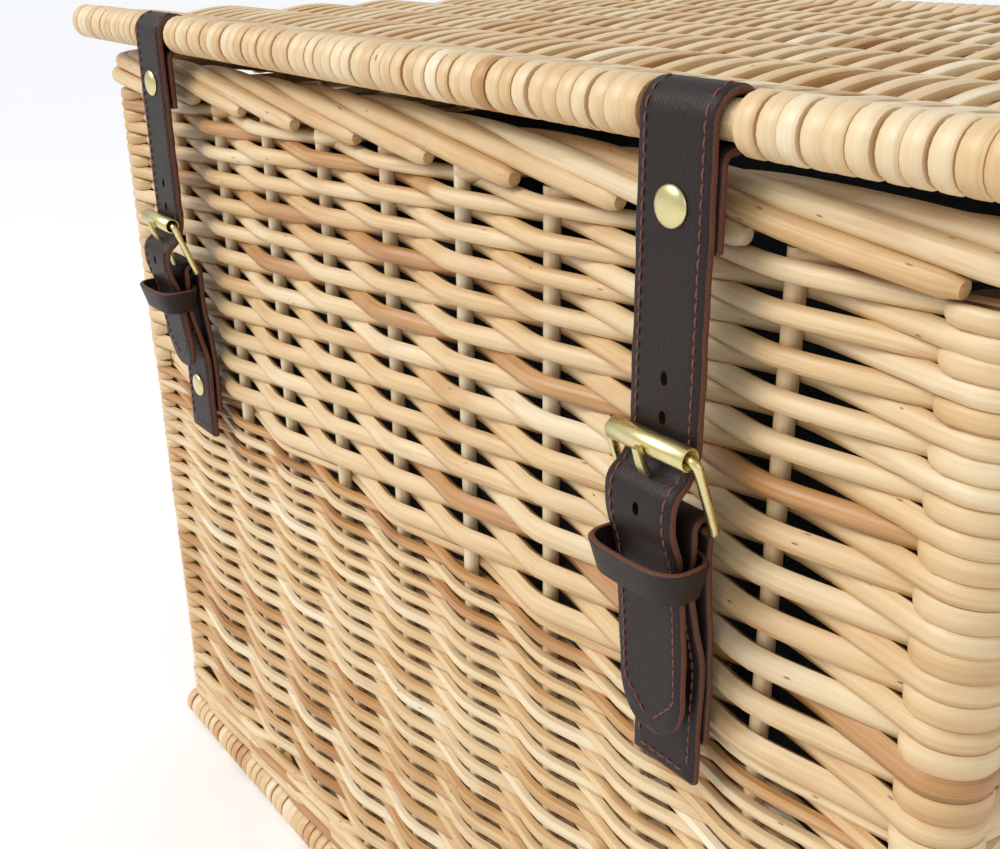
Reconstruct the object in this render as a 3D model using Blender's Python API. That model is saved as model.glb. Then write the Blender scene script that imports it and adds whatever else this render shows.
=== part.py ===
"""A lidded willow picnic hamper: woven basket, woven lid, leather hinge loops and two buckled straps.

Metres, +Z up. The origin is the middle of the base's flat underside, +X runs to the right along the
front, and -Y points out of the front, where the straps and buckles are. Run it with
blender --background --python part.py, or from Blender's text editor.
"""

import math

import bmesh
import bpy
from mathutils import Vector

# Basket
BODY_WIDTH = 0.396          # over the weave, side to side
BODY_DEPTH = 0.265          # over the weave, front to back
RIM_HEIGHT = 0.311          # top of the border
BASE_THICKNESS = 0.014
BASE_OVERHANG = 0.002       # how far the base's rolled edge stands out of the wall, front and back
FINE_WEAVE_DROP = 0.125     # from the top of the border down to where the fine lower weave starts
WALL_THICKNESS = 0.013
INNER_CORNER_RADIUS = 0.002
CORNER_RADIUS = 0.011       # of the weave where it turns round a post
POST_RADIUS = 0.007
STAKE_RADIUS = 0.0029
FRONT_STAKES = 9            # upright stakes in the front, and as many in the back
SIDE_STAKES = 5
CORNER_BAY = 0.0414         # in the front and back, from a corner post to the next stake
BORDER_HEIGHT = 0.014
BORDER_WIDTH = 0.0165
BORDER_OVERHANG = 0.001
BORDER_CORNER_RADIUS = 0.016
LINING_THICKNESS = 0.0012
LINING_GAP = 0.0032         # between the weave and the lining, where the rivets' inner ends are
LINING_DROP = 0.0365        # from the top of the border down to the top of the lining

# Side handles
HANDLE_RADIUS = 0.005
HANDLE_REACH = 0.034        # how far the grip stands out of the wall, to its middle
HANDLE_RISE = 0.012
HANDLE_BEND = 0.012         # radius of the turn where the grip leaves the wall
HANDLE_DROP = 0.049         # from the top of the border down to the handle's ends
HANDLE_SPAN_PITCHES = 3     # in side stake pitches, so that both ends pass between stakes

# Lid
LID_THICKNESS = 0.0124
LID_OVERHANG = 0.003        # from the wall's face out to the middle of the lid's rolled edge
LID_SIDE_OVERHANG = 0.006
LID_REST_TILT = math.radians(0.85)   # the straps let the front lie a little higher than the back
LID_CLEARANCE = 0.0005      # between the lid's back edge and the border under it
CORE_RADIUS = 0.0040        # of the border stick that is left bare where a leather loop goes round it
NOTCH_CLEARANCE = 0.0012

# Leather
STRAP_WIDTH = 0.020
LEATHER = 0.0022
LOOP_CLEARANCE = 0.0004     # between a loop and the border stick inside it
HOLE_RADIUS = 0.0013
STRAP_HOLE_DROPS = (0.0400, 0.0484, 0.0668)   # below the border's top
INNER_TAIL_DROP = 0.0135    # from the border's top to the end of the layer behind
TAIL_DROPS = {"left": 0.108, "right": 0.124}  # from the border's top to the closing strap's tip
TIP_LENGTH = 0.013
TIP_OUT = 0.0085            # from the wall to the middle of the tip's thickness
STRAP_BULGE = 0.0040        # how far the closing strap stands off the fold round the buckle's bar
STRAP_STEP = 0.002          # length of the segments that a strap is drawn with
BUCKLE_STRAP_DROP = 0.136   # from the border's top to the buckle strap's square end
KEEPER_LEATHER = 0.0018
KEEPER_HEIGHT = 0.0085
KEEPER_DROP = 0.076         # from the border's top to the keeper's upper edge
KEEPER_HALF_WIDTH = 0.0134
KEEPER_RADIUS = 0.0040
KEEPER_FRONT = 0.0185       # how far its front stands out of the wall

# Buckle
WIRE_RADIUS = 0.0011
BAR_DROP = 0.071            # from the border's top to the buckle's lower bar
BAR_OUT = 0.0060            # in front of the wall
BUCKLE_HEIGHT = 0.019       # between the buckle's two bars
BUCKLE_LEAN = math.radians(20.0)
LEG_X = 0.0130
BEND_RADIUS = 0.0016
ROLLER_RADIUS = 0.0026
ROLLER_BORE = 0.0020
ROLLER_LENGTH = 0.0224
PRONG_WIDTH = 0.0026
PRONG_THICKNESS = 0.0014
PRONG_SLOT = 0.0040
PRONG_CLEARANCE = 0.0005    # round the prong, where it passes through the strap

# Rivets
RIVET_HEAD_RADIUS = 0.0043
RIVET_HEAD_HEIGHT = 0.0016
RIVET_SHANK_RADIUS = 0.0015
RIVET_CAP_RADIUS = 0.0040
RIVET_CAP_THICKNESS = 0.0009
STRAP_RIVET_DROP = 0.0055   # from the border's top to the rivet that closes a strap's loop
BUCKLE_RIVET_DROP = 0.1175
HINGE_RIVET_DROP = 0.0285
HINGE_TAIL_DROP = 0.0390

GAP = 0.0003                # between pieces that touch
ROD_SIDES = 10
ROUND_SIDES = 16
CURVE_STEPS = 6             # segments in a quarter turn

FRONT, BACK = -1.0, 1.0
BORDER_BOTTOM = RIM_HEIGHT - BORDER_HEIGHT
HALF_WIDTH = BODY_WIDTH / 2
HALF_DEPTH = BODY_DEPTH / 2
ROLL_RADIUS = LID_THICKNESS / 2
LOOP_RADIUS = CORE_RADIUS + LOOP_CLEARANCE + LEATHER / 2
LAYER_STEP = LEATHER + GAP  # between the middles of two leather layers that lie together
ON_WALL = GAP + LEATHER / 2 # from the wall to the middle of a layer that lies on it
POST_X = HALF_WIDTH - CORNER_RADIUS
POST_Y = HALF_DEPTH - CORNER_RADIUS
FRONT_PITCH = 2 * (POST_X - CORNER_BAY) / (FRONT_STAKES - 1)
SIDE_PITCH = 2 * POST_Y / (SIDE_STAKES + 1)
STRAP_X = (FRONT_STAKES / 2 - 1) * FRONT_PITCH   # midway between the first two stakes
FINE_WEAVE_TOP = RIM_HEIGHT - FINE_WEAVE_DROP
HINGE_Y = HALF_DEPTH + LID_OVERHANG
HINGE_Z = RIM_HEIGHT + LID_CLEARANCE + ROLL_RADIUS
LID_REACH = BODY_DEPTH + 2 * LID_OVERHANG     # from the hinge axis to the front roll's axis
LID_FRONT_Y = HINGE_Y - LID_REACH * math.cos(LID_REST_TILT)
LID_FRONT_Z = HINGE_Z + LID_REACH * math.sin(LID_REST_TILT)
LID_FRONT_OUT = -LID_FRONT_Y - HALF_DEPTH
BAR_Z = RIM_HEIGHT - BAR_DROP
ROLLER_OUT = BAR_OUT + BUCKLE_HEIGHT * math.sin(BUCKLE_LEAN)
ROLLER_Z = BAR_Z + BUCKLE_HEIGHT * math.cos(BUCKLE_LEAN)
KEEPER_TOP = RIM_HEIGHT - KEEPER_DROP
KEEPER_BOTTOM = KEEPER_TOP - KEEPER_HEIGHT
EYE_RADIUS = WIRE_RADIUS + GAP + PRONG_THICKNESS / 2   # of the prong's curl, at its middle
BUCKLE_RIVET_Z = RIM_HEIGHT - BUCKLE_RIVET_DROP
HINGE_RIVET_Z = RIM_HEIGHT - HINGE_RIVET_DROP
HANDLE_END_Y = HANDLE_SPAN_PITCHES / 2 * SIDE_PITCH
HANDLE_Z = RIM_HEIGHT - HANDLE_DROP


def clear_scene():
    for obj in list(bpy.data.objects):
        bpy.data.objects.remove(obj, do_unlink=True)


def material(name, colour, roughness, metallic=0.0):
    made = bpy.data.materials.new(name)
    made.use_nodes = True
    shader = made.node_tree.nodes["Principled BSDF"]
    shader.inputs["Base Color"].default_value = (*colour, 1.0)
    shader.inputs["Roughness"].default_value = roughness
    shader.inputs["Metallic"].default_value = metallic
    return made


def place_object(made, location, parent):
    made.location = location
    made.parent = parent
    bpy.context.collection.objects.link(made)
    return made


def empty(name, location, parent=None, turn=0.0):
    """An empty on a joint's axis, turned about X."""
    made = bpy.data.objects.new(name, None)
    made.rotation_euler.x = turn
    return place_object(made, location, parent)


def add_object(name, bm, surface, location=(0, 0, 0), parent=None):
    """The bmesh as a named object, its faces turned outwards."""
    bmesh.ops.recalc_face_normals(bm, faces=bm.faces)
    mesh = bpy.data.meshes.new(name)
    bm.to_mesh(mesh)
    bm.free()
    mesh.shade_smooth()
    mesh.set_sharp_from_angle(angle=math.radians(40))
    mesh.materials.append(surface)
    return place_object(bpy.data.objects.new(name, mesh), location, parent)


def wire(name, points, radius, surface, cyclic=False, parent=None):
    """A round wire or rod along the points."""
    curve = bpy.data.curves.new(name, "CURVE")
    curve.dimensions = "3D"
    curve.bevel_depth = radius
    curve.bevel_resolution = 2
    curve.use_fill_caps = True
    curve.materials.append(surface)
    spline = curve.splines.new("POLY")
    spline.points.add(len(points) - 1)
    for point, place in zip(spline.points, points):
        point.co = (*place, 1.0)
    spline.use_cyclic_u = cyclic
    return place_object(bpy.data.objects.new(name, curve), (0, 0, 0), parent)


def cut(obj, cutter):
    """Takes the cutter's shape out of the object."""
    cutter.hide_render = True
    cutter.display_type = "WIRE"
    modifier = obj.modifiers.new(cutter.name, "BOOLEAN")
    modifier.operation = "DIFFERENCE"
    modifier.object = cutter


def skin(bm, loops, wrap=False):
    """Faces from each loop of points to the next, then round to the first again or capped at both ends."""
    made = [[bm.verts.new(point) for point in loop] for loop in loops]
    pairs = list(zip(made, made[1:]))
    if wrap:
        pairs.append((made[-1], made[0]))
    else:
        bm.faces.new(made[0])
        bm.faces.new(made[-1])
    for near, far in pairs:
        for i in range(len(near)):
            j = (i + 1) % len(near)
            bm.faces.new((near[i], near[j], far[j], far[i]))


def add_rod(bm, radius, start, end, sides=ROD_SIDES):
    """A straight round rod from start to end."""
    start, end = Vector(start), Vector(end)
    along = end - start
    place = along.to_track_quat("Z", "Y").to_matrix().to_4x4()
    place.translation = (start + end) / 2
    bmesh.ops.create_cone(
        bm, cap_ends=True, segments=sides, radius1=radius, radius2=radius,
        depth=along.length, matrix=place,
    )


def circle(radius, steps=ROUND_SIDES):
    angles = [2 * math.pi * i / steps for i in range(steps)]
    return [(radius * math.cos(a), radius * math.sin(a)) for a in angles]


def arc(centre, radius, start, end, steps=2 * CURVE_STEPS):
    """Points along an arc, angles in degrees from the first axis towards the second."""
    made = []
    for step in range(steps + 1):
        angle = math.radians(start + (end - start) * step / steps)
        made.append((centre[0] + radius * math.cos(angle), centre[1] + radius * math.sin(angle)))
    return made


def rounded_rectangle(half_x, half_y, radius):
    """Points round a rectangle with round corners."""
    x, y = half_x - radius, half_y - radius
    corners = ((x, y), (-x, y), (-x, -y), (x, -y))
    points = []
    for quarter, corner in enumerate(corners):
        points += arc(corner, radius, 90 * quarter, 90 * quarter + 90, CURVE_STEPS)
    return points


def upright_tube(outer, inner, low, high, centre_y=0.0):
    """A bmesh of an upright tube between two loops, points in XY, that have the same number of points."""
    bm = bmesh.new()
    levels = ((outer, low), (outer, high), (inner, high), (inner, low))
    skin(bm, [[(x, centre_y + y, z) for x, y in loop] for loop, z in levels], wrap=True)
    return bm


def add_cross_tube(bm, outer, inner, start, end):
    """A tube along X between two loops, points in YZ, that have the same number of points."""
    levels = ((outer, start), (outer, end), (inner, end), (inner, start))
    skin(bm, [[(x, y, z) for y, z in loop] for loop, x in levels], wrap=True)


def smooth(points, steps=CURVE_STEPS):
    """A smooth curve through the points, with a few points between each two."""
    around = [points[0], *points, points[-1]]
    made = []
    for a, b, c, d in zip(around, around[1:], around[2:], around[3:]):
        for step in range(steps):
            t = step / steps
            made.append(tuple(
                0.5 * (2 * q + (r - p) * t + (2 * p - 5 * q + 4 * r - s) * t * t + (3 * q - p - 3 * r + s) * t ** 3)
                for p, q, r, s in zip(a, b, c, d)
            ))
    made.append(tuple(points[-1]))
    return made


def evenly(path, spacing):
    """The same path with points about one spacing apart."""
    reach = [0.0]
    for near, far in zip(path, path[1:]):
        reach.append(reach[-1] + math.dist(near, far))
    count = math.ceil(reach[-1] / spacing)
    made, i = [], 0
    for step in range(count):
        along = reach[-1] * step / count
        while reach[i + 1] <= along:
            i += 1
        share = (along - reach[i]) / (reach[i + 1] - reach[i])
        made.append(tuple(a + (b - a) * share for a, b in zip(path[i], path[i + 1])))
    made.append(path[-1])
    return made


def add_strap(bm, path, thickness, half_widths):
    """A flat strap along a path in YZ, with its own half width at each point of the path."""
    sections = []
    for i, ((y, z), half) in enumerate(zip(path, half_widths)):
        before, after = path[max(i - 1, 0)], path[min(i + 1, len(path) - 1)]
        along = Vector((after[0] - before[0], after[1] - before[1])).normalized()
        across_y, across_z = -along.y * thickness / 2, along.x * thickness / 2
        sections.append((
            (-half, y + across_y, z + across_z), (half, y + across_y, z + across_z),
            (half, y - across_y, z - across_z), (-half, y - across_y, z - across_z),
        ))
    skin(bm, sections)


def in_yz(points, side):
    """Points given as (distance out of the wall, height), in YZ."""
    return [(side * (HALF_DEPTH + out), z) for out, z in points]


def panel_outline(front, back, radius, middle):
    """The side view of a woven panel, in YZ: flat above and below, with rolled front and back edges."""
    return arc((back, middle), radius, -90, 90) + arc((front, middle), radius, 90, 270)


def add_panel(bm, outline, half_width):
    skin(bm, [[(x, y, z) for y, z in outline] for x in (-half_width, half_width)])


# Basket

def stake_places():
    """The name and the place in plan of each upright stake."""
    wall_middle_x = HALF_WIDTH - WALL_THICKNESS / 2
    wall_middle_y = HALF_DEPTH - WALL_THICKNESS / 2
    places = {}
    for i in range(FRONT_STAKES):
        x = (i - (FRONT_STAKES - 1) / 2) * FRONT_PITCH
        places[f"stake_front_{i + 1}"] = (x, -wall_middle_y)
        places[f"stake_back_{i + 1}"] = (x, wall_middle_y)
    for i in range(SIDE_STAKES):
        y = (i - (SIDE_STAKES - 1) / 2) * SIDE_PITCH
        places[f"stake_left_{i + 1}"] = (-wall_middle_x, y)
        places[f"stake_right_{i + 1}"] = (wall_middle_x, y)
    return places


def post_places():
    return {
        "corner_post_front_left": (-POST_X, -POST_Y),
        "corner_post_front_right": (POST_X, -POST_Y),
        "corner_post_back_left": (-POST_X, POST_Y),
        "corner_post_back_right": (POST_X, POST_Y),
    }


def base_panel(surface):
    bm = bmesh.new()
    radius = BASE_THICKNESS / 2
    edge = HALF_DEPTH + BASE_OVERHANG - radius
    add_panel(bm, panel_outline(-edge, edge, radius, radius), HALF_WIDTH)
    add_object("base_panel", bm, surface)


def uprights(stake_willow, post_willow):
    """The stakes and the corner posts, which stand on the base and end under the border."""
    low, high = BASE_THICKNESS + GAP, BORDER_BOTTOM - GAP
    for name, (x, y) in stake_places().items():
        bm = bmesh.new()
        add_rod(bm, STAKE_RADIUS, (0, 0, 0), (0, 0, high - low))
        add_object(name, bm, stake_willow, (x, y, low))
    for name, (x, y) in post_places().items():
        bm = bmesh.new()
        add_rod(bm, POST_RADIUS, (0, 0, 0), (0, 0, high - low), ROUND_SIDES)
        add_object(name, bm, post_willow, (x, y, low))


def upright_bores(surface):
    """Cutter: the ways through the weave for the stakes and posts."""
    bm = bmesh.new()
    for x, y in stake_places().values():
        add_rod(bm, STAKE_RADIUS + GAP, (x, y, 0.0), (x, y, RIM_HEIGHT))
    for x, y in post_places().values():
        add_rod(bm, POST_RADIUS + GAP, (x, y, 0.0), (x, y, RIM_HEIGHT), ROUND_SIDES)
    return add_object("upright_bores", bm, surface)


def wall_bores(surface):
    """Cutter: the holes through the walls for the rivets and the handles' ends."""
    bm = bmesh.new()
    reach = 2 * WALL_THICKNESS
    radius = RIVET_SHANK_RADIUS + GAP
    for x in (-STRAP_X, STRAP_X):
        for side, z in ((FRONT, BUCKLE_RIVET_Z), (BACK, HINGE_RIVET_Z)):
            start = (x, side * (HALF_DEPTH - reach), z)
            add_rod(bm, radius, start, (x, side * (HALF_DEPTH + reach), z), ROUND_SIDES)
    for side in (-1, 1):
        for y in (-HANDLE_END_Y, HANDLE_END_Y):
            start = (side * (HALF_WIDTH - reach), y, HANDLE_Z)
            add_rod(bm, HANDLE_RADIUS + GAP, start, (side * (HALF_WIDTH + reach), y, HANDLE_Z), ROUND_SIDES)
    return add_object("wall_bores", bm, surface)


def siding(name, low, high, surface, cutters):
    """A band of weave: it runs round all four walls and turns round the corner posts."""
    outer = rounded_rectangle(HALF_WIDTH, HALF_DEPTH, CORNER_RADIUS)
    inner = rounded_rectangle(HALF_WIDTH - WALL_THICKNESS, HALF_DEPTH - WALL_THICKNESS, INNER_CORNER_RADIUS)
    made = add_object(name, upright_tube(outer, inner, low, high), surface)
    for cutter in cutters:
        cut(made, cutter)


def rim_border(surface):
    half_x, half_y = HALF_WIDTH + BORDER_OVERHANG, HALF_DEPTH + BORDER_OVERHANG
    outer = rounded_rectangle(half_x, half_y, BORDER_CORNER_RADIUS)
    inner = rounded_rectangle(half_x - BORDER_WIDTH, half_y - BORDER_WIDTH, INNER_CORNER_RADIUS)
    add_object("rim_border", upright_tube(outer, inner, BORDER_BOTTOM, RIM_HEIGHT), surface)


def lining(surface):
    """A fabric tub, open at the top, that stands inside the weave."""
    outside = WALL_THICKNESS + LINING_GAP
    inside = outside + LINING_THICKNESS
    low, high = BASE_THICKNESS + GAP, RIM_HEIGHT - LINING_DROP
    inner_radius = CORNER_RADIUS - LINING_THICKNESS
    levels = (
        (outside, CORNER_RADIUS, low), (outside, CORNER_RADIUS, high),
        (inside, inner_radius, high), (inside, inner_radius, low + LINING_THICKNESS),
    )
    loops = []
    for inset, radius, z in levels:
        outline = rounded_rectangle(HALF_WIDTH - inset, HALF_DEPTH - inset, radius)
        loops.append([(x, y, z) for x, y in outline])
    bm = bmesh.new()
    skin(bm, loops)
    add_object("lining", bm, surface)


def side_handle(name, side, surface):
    """A bowed willow grip whose two ends pass through the side wall."""
    straight = HANDLE_REACH - HANDLE_BEND
    bend = [(straight + HANDLE_BEND * math.sin(a), HANDLE_BEND * (1 - math.cos(a)))
            for a in (math.pi / 2 * i / CURVE_STEPS for i in range(CURVE_STEPS + 1))]
    half = [(-WALL_THICKNESS, 0.0), *bend]
    length = HANDLE_END_Y - HANDLE_BEND
    points = []
    for out, along in half:
        points.append((out, along - HANDLE_END_Y))
    for step in range(1, 2 * CURVE_STEPS):
        points.append((HANDLE_REACH, -length + length * step / CURVE_STEPS))
    for out, along in reversed(half):
        points.append((out, HANDLE_END_Y - along))
    places = []
    for out, y in points:
        rise = HANDLE_RISE * max(0.0, 1 - (y / HANDLE_END_Y) ** 2) * max(out, 0.0) / HANDLE_REACH
        places.append((side * (HALF_WIDTH + out), y, HANDLE_Z + rise))
    wire(name, places, HANDLE_RADIUS, surface)


# Lid

def lid_panel(surface, hinge):
    """The woven lid, with the hinge axis along its own X axis, notched down to a stick at the leather loops."""
    bm = bmesh.new()
    half_width = HALF_WIDTH + LID_SIDE_OVERHANG
    add_panel(bm, panel_outline(-LID_REACH, 0.0, ROLL_RADIUS, 0.0), half_width)
    panel = add_object("lid_panel", bm, surface, parent=hinge)
    notches = bmesh.new()
    reach = LOOP_RADIUS + LEATHER / 2 + NOTCH_CLEARANCE
    half_notch = STRAP_WIDTH / 2 + NOTCH_CLEARANCE
    for x in (-STRAP_X, STRAP_X):
        for y in (-LID_REACH, 0.0):
            outer = arc((y, 0.0), reach, 0, 360)[:-1]
            inner = arc((y, 0.0), CORE_RADIUS, 0, 360)[:-1]
            add_cross_tube(notches, outer, inner, x - half_notch, x + half_notch)
    cut(panel, add_object("lid_notches", notches, surface, parent=hinge))


# Leather

def loop_path(centre, inner_end, outer_leg):
    """A strap's path: up the inner layer, once round the lid's border stick, then down the outer layer."""
    out, z = centre
    turn = (out + LOOP_RADIUS - 2 * LAYER_STEP, z - LOOP_RADIUS - LAYER_STEP)
    return [
        *inner_end,
        *arc(turn, LAYER_STEP, 0, 90, CURVE_STEPS),
        *arc(centre, LOOP_RADIUS, -90, -360, 3 * CURVE_STEPS),
        *outer_leg,
    ]


def outer_leg_path(tail_drop):
    """Down the front of the basket: behind the roller, over the buckle's lower bar, through the keeper."""
    flat = LID_FRONT_OUT + LOOP_RADIUS
    behind = ROLLER_OUT - ROLLER_RADIUS - GAP - LEATHER / 2
    over = BAR_OUT + 2 * LAYER_STEP
    return smooth([
        (flat, LID_FRONT_Z - LOOP_RADIUS / 2),
        (flat, ROLLER_Z + 0.014),
        (behind, ROLLER_Z + 0.004),
        (behind, ROLLER_Z - 0.0002),
        (behind + 0.35 * (over + STRAP_BULGE - behind), ROLLER_Z - 0.0060),
        (over + 0.85 * STRAP_BULGE, BAR_Z + 0.0085),
        (over + STRAP_BULGE, BAR_Z + 0.0035),
        (over + 0.70 * STRAP_BULGE, BAR_Z - 0.002),
        (over + 0.40 * STRAP_BULGE, KEEPER_TOP),
        (over + 0.10 * STRAP_BULGE, KEEPER_BOTTOM),
        (TIP_OUT, RIM_HEIGHT - tail_drop),
    ])


def tip_widths(path):
    """Half widths that keep the strap's full width and then round it off to a blunt point."""
    left, widths = 0.0, []
    for near, far in zip(reversed(path), [path[-1], *reversed(path)]):
        left += math.dist(near, far)
        share = min(left / TIP_LENGTH, 1.0)
        widths.append(STRAP_WIDTH / 2 * (0.25 + 0.75 * math.sqrt(share * (2 - share))))
    return widths[::-1]


def closing_strap(name, tail_drop, surface, pivot, prong_way):
    """The strap that hangs from the lid's front edge, with the holes for its rivet and for the prong."""
    centre = (LID_FRONT_OUT, LID_FRONT_Z)
    inner_end = [(LID_FRONT_OUT + LOOP_RADIUS - LAYER_STEP, RIM_HEIGHT - INNER_TAIL_DROP)]
    path = evenly(loop_path(centre, inner_end, outer_leg_path(tail_drop)), STRAP_STEP)
    from_pivot = [(y - LID_FRONT_Y, z - LID_FRONT_Z) for y, z in in_yz(path, FRONT)]
    bm = bmesh.new()
    add_strap(bm, from_pivot, LEATHER, tip_widths(path))
    strap = add_object(name, bm, surface, parent=pivot)
    holes = bmesh.new()
    reach = -LID_FRONT_OUT - BAR_OUT - BUCKLE_HEIGHT
    for drop in STRAP_HOLE_DROPS:
        z = RIM_HEIGHT - drop - LID_FRONT_Z
        add_rod(holes, HOLE_RADIUS, (0, 0, z), (0, reach, z))
    z = RIM_HEIGHT - STRAP_RIVET_DROP - LID_FRONT_Z
    add_rod(holes, RIVET_SHANK_RADIUS + GAP, (0, 0, z), (0, reach, z), ROUND_SIDES)
    cut(strap, add_object(name + "_holes", holes, surface, parent=pivot))
    cut(strap, prong_way)


def buckle_strap(name, x, surface):
    """The short strap that holds the buckle: folded round the lower bar, both layers riveted to the wall."""
    flat_top = BUCKLE_RIVET_Z + RIVET_HEAD_RADIUS + 3 * LAYER_STEP
    widest = KEEPER_BOTTOM - GAP
    halfway = (flat_top + widest) / 2
    back_leg = smooth([
        (ON_WALL, BUCKLE_RIVET_Z - 2 * RIVET_HEAD_RADIUS),
        (ON_WALL, flat_top),
        (0.6 * ON_WALL + 0.4 * (BAR_OUT - LAYER_STEP), halfway),
        (BAR_OUT - LAYER_STEP, widest),
        (BAR_OUT - LAYER_STEP, BAR_Z - GAP),
    ])
    front_leg = smooth([
        (BAR_OUT + LAYER_STEP, BAR_Z - GAP),
        (BAR_OUT + LAYER_STEP, widest),
        (0.5 * (ON_WALL + BAR_OUT) + LAYER_STEP, halfway),
        (ON_WALL + LAYER_STEP, flat_top),
        (ON_WALL + LAYER_STEP, BUCKLE_RIVET_Z),
        (ON_WALL + LAYER_STEP, RIM_HEIGHT - BUCKLE_STRAP_DROP),
    ])
    fold = arc((BAR_OUT, BAR_Z), LAYER_STEP, 180, 0)
    path = evenly(in_yz([*back_leg, *fold, *front_leg], FRONT), STRAP_STEP / 2)
    bm = bmesh.new()
    add_strap(bm, path, LEATHER, [STRAP_WIDTH / 2] * len(path))
    strap = add_object(name, bm, surface, (x, 0, 0))
    cutter = bmesh.new()
    far = -HALF_DEPTH - BAR_OUT - 3 * LAYER_STEP
    low, high = BAR_Z - EYE_RADIUS - PRONG_THICKNESS / 2 - 2 * GAP, BAR_Z + 3 * LAYER_STEP
    slot = [(-HALF_DEPTH, low), (far, low), (far, high), (-HALF_DEPTH, high)]
    add_panel(cutter, slot, PRONG_SLOT / 2)
    start = (0, -HALF_DEPTH, BUCKLE_RIVET_Z)
    add_rod(cutter, RIVET_SHANK_RADIUS + GAP, start, (0, far, BUCKLE_RIVET_Z), ROUND_SIDES)
    cut(strap, add_object(name + "_slot", cutter, surface, (x, 0, 0)))


def keeper(name, x, surface):
    """The loose leather loop that holds the closing strap's tail. Its back lies in the buckle strap's fold."""
    back = BAR_OUT - KEEPER_LEATHER / 2
    half_y = (KEEPER_FRONT - back) / 2
    outer = rounded_rectangle(KEEPER_HALF_WIDTH, half_y, KEEPER_RADIUS)
    inner = rounded_rectangle(
        KEEPER_HALF_WIDTH - KEEPER_LEATHER, half_y - KEEPER_LEATHER, KEEPER_RADIUS - KEEPER_LEATHER
    )
    bm = upright_tube(outer, inner, KEEPER_BOTTOM, KEEPER_TOP, -HALF_DEPTH - back - half_y)
    add_object(name, bm, surface, (x, 0, 0))


def hinge_strap(name, x, surface):
    """A leather loop round the lid's back border stick, with both of its ends riveted to the back wall."""
    flat = LID_OVERHANG + LOOP_RADIUS
    turn = HINGE_Z - LOOP_RADIUS - LAYER_STEP
    flat_top = HINGE_RIVET_Z + RIVET_HEAD_RADIUS + LAYER_STEP
    bottom = RIM_HEIGHT - HINGE_TAIL_DROP
    bow = flat - LAYER_STEP - ON_WALL
    middle = (flat_top + turn) / 2
    inner_leg = smooth([
        (ON_WALL, bottom), (ON_WALL, HINGE_RIVET_Z), (ON_WALL, flat_top), (ON_WALL + 0.3 * bow, middle - GAP),
        (ON_WALL + bow, turn - GAP),
    ])
    outer_leg = smooth([
        (flat, turn), (ON_WALL + LAYER_STEP + 0.4 * bow, middle), (ON_WALL + LAYER_STEP, flat_top),
        (ON_WALL + LAYER_STEP, HINGE_RIVET_Z), (ON_WALL + LAYER_STEP, bottom),
    ])
    path = evenly(in_yz(loop_path((LID_OVERHANG, HINGE_Z), inner_leg, outer_leg), BACK), STRAP_STEP / 2)
    bm = bmesh.new()
    add_strap(bm, path, LEATHER, [STRAP_WIDTH / 2] * len(path))
    strap = add_object(name, bm, surface, (x, 0, 0))
    hole = bmesh.new()
    start, end = HALF_DEPTH, HALF_DEPTH + flat + LOOP_RADIUS
    add_rod(hole, RIVET_SHANK_RADIUS + GAP, (0, start, HINGE_RIVET_Z), (0, end, HINGE_RIVET_Z), ROUND_SIDES)
    cut(strap, add_object(name + "_hole", hole, surface, (x, 0, 0)))


# Metal

def rivet(name, surface, place, side, grip, parent=None):
    """A domed rivet. Its origin is under the head, and its shank runs inwards through the grip to a flat cap."""
    height, radius = RIVET_HEAD_HEIGHT, RIVET_HEAD_RADIUS
    profile = [
        (0.25 * radius, height), (0.60 * radius, 0.86 * height), (0.88 * radius, 0.50 * height),
        (radius, 0.15 * height), (0.97 * radius, 0.0), (RIVET_SHANK_RADIUS, 0.0),
        (RIVET_SHANK_RADIUS, -grip), (RIVET_CAP_RADIUS, -grip), (RIVET_CAP_RADIUS, -grip - RIVET_CAP_THICKNESS),
    ]
    bm = bmesh.new()
    skin(bm, [[(x, side * out, z) for x, z in circle(r)] for r, out in profile])
    add_object(name, bm, surface, place, parent)


def buckle_frame(name, surface, pivot):
    """A bent wire rectangle, with its lower bar on the pivot."""
    outline = []
    x, low, high = LEG_X - BEND_RADIUS, BEND_RADIUS, BUCKLE_HEIGHT - BEND_RADIUS
    for quarter, corner in enumerate(((x, high), (-x, high), (-x, low), (x, low))):
        outline += arc(corner, BEND_RADIUS, 90 * quarter, 90 * quarter + 90, CURVE_STEPS)
    wire(name, [(a, 0.0, b) for a, b in outline], WIRE_RADIUS, surface, cyclic=True, parent=pivot)


def roller(name, surface, pivot):
    """A tube that turns on the buckle's upper bar."""
    bm = bmesh.new()
    add_cross_tube(bm, circle(ROLLER_RADIUS), circle(ROLLER_BORE), -ROLLER_LENGTH / 2, ROLLER_LENGTH / 2)
    add_object(name, bm, surface, parent=pivot)


def prong_stem():
    """The prong's path, (y, z) from the lower bar up to the roller that it rests on."""
    rest = ROLLER_RADIUS + GAP + PRONG_THICKNESS / 2
    return smooth([
        (-EYE_RADIUS, 0.0), (-EYE_RADIUS, 0.45 * BUCKLE_HEIGHT), (-rest, 0.85 * BUCKLE_HEIGHT),
        (-rest, BUCKLE_HEIGHT), (-rest, BUCKLE_HEIGHT + PRONG_THICKNESS),
    ])


def prong(name, surface, pivot):
    """A flat tongue curled round the lower bar. It passes through the strap and rests on the roller."""
    eye = arc((0.0, 0.0), EYE_RADIUS, -120, 180)[:-1]
    path = [*eye, *prong_stem()]
    bm = bmesh.new()
    add_strap(bm, path, PRONG_THICKNESS, [PRONG_WIDTH / 2] * len(path))
    add_object(name, bm, surface, parent=pivot)


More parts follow.
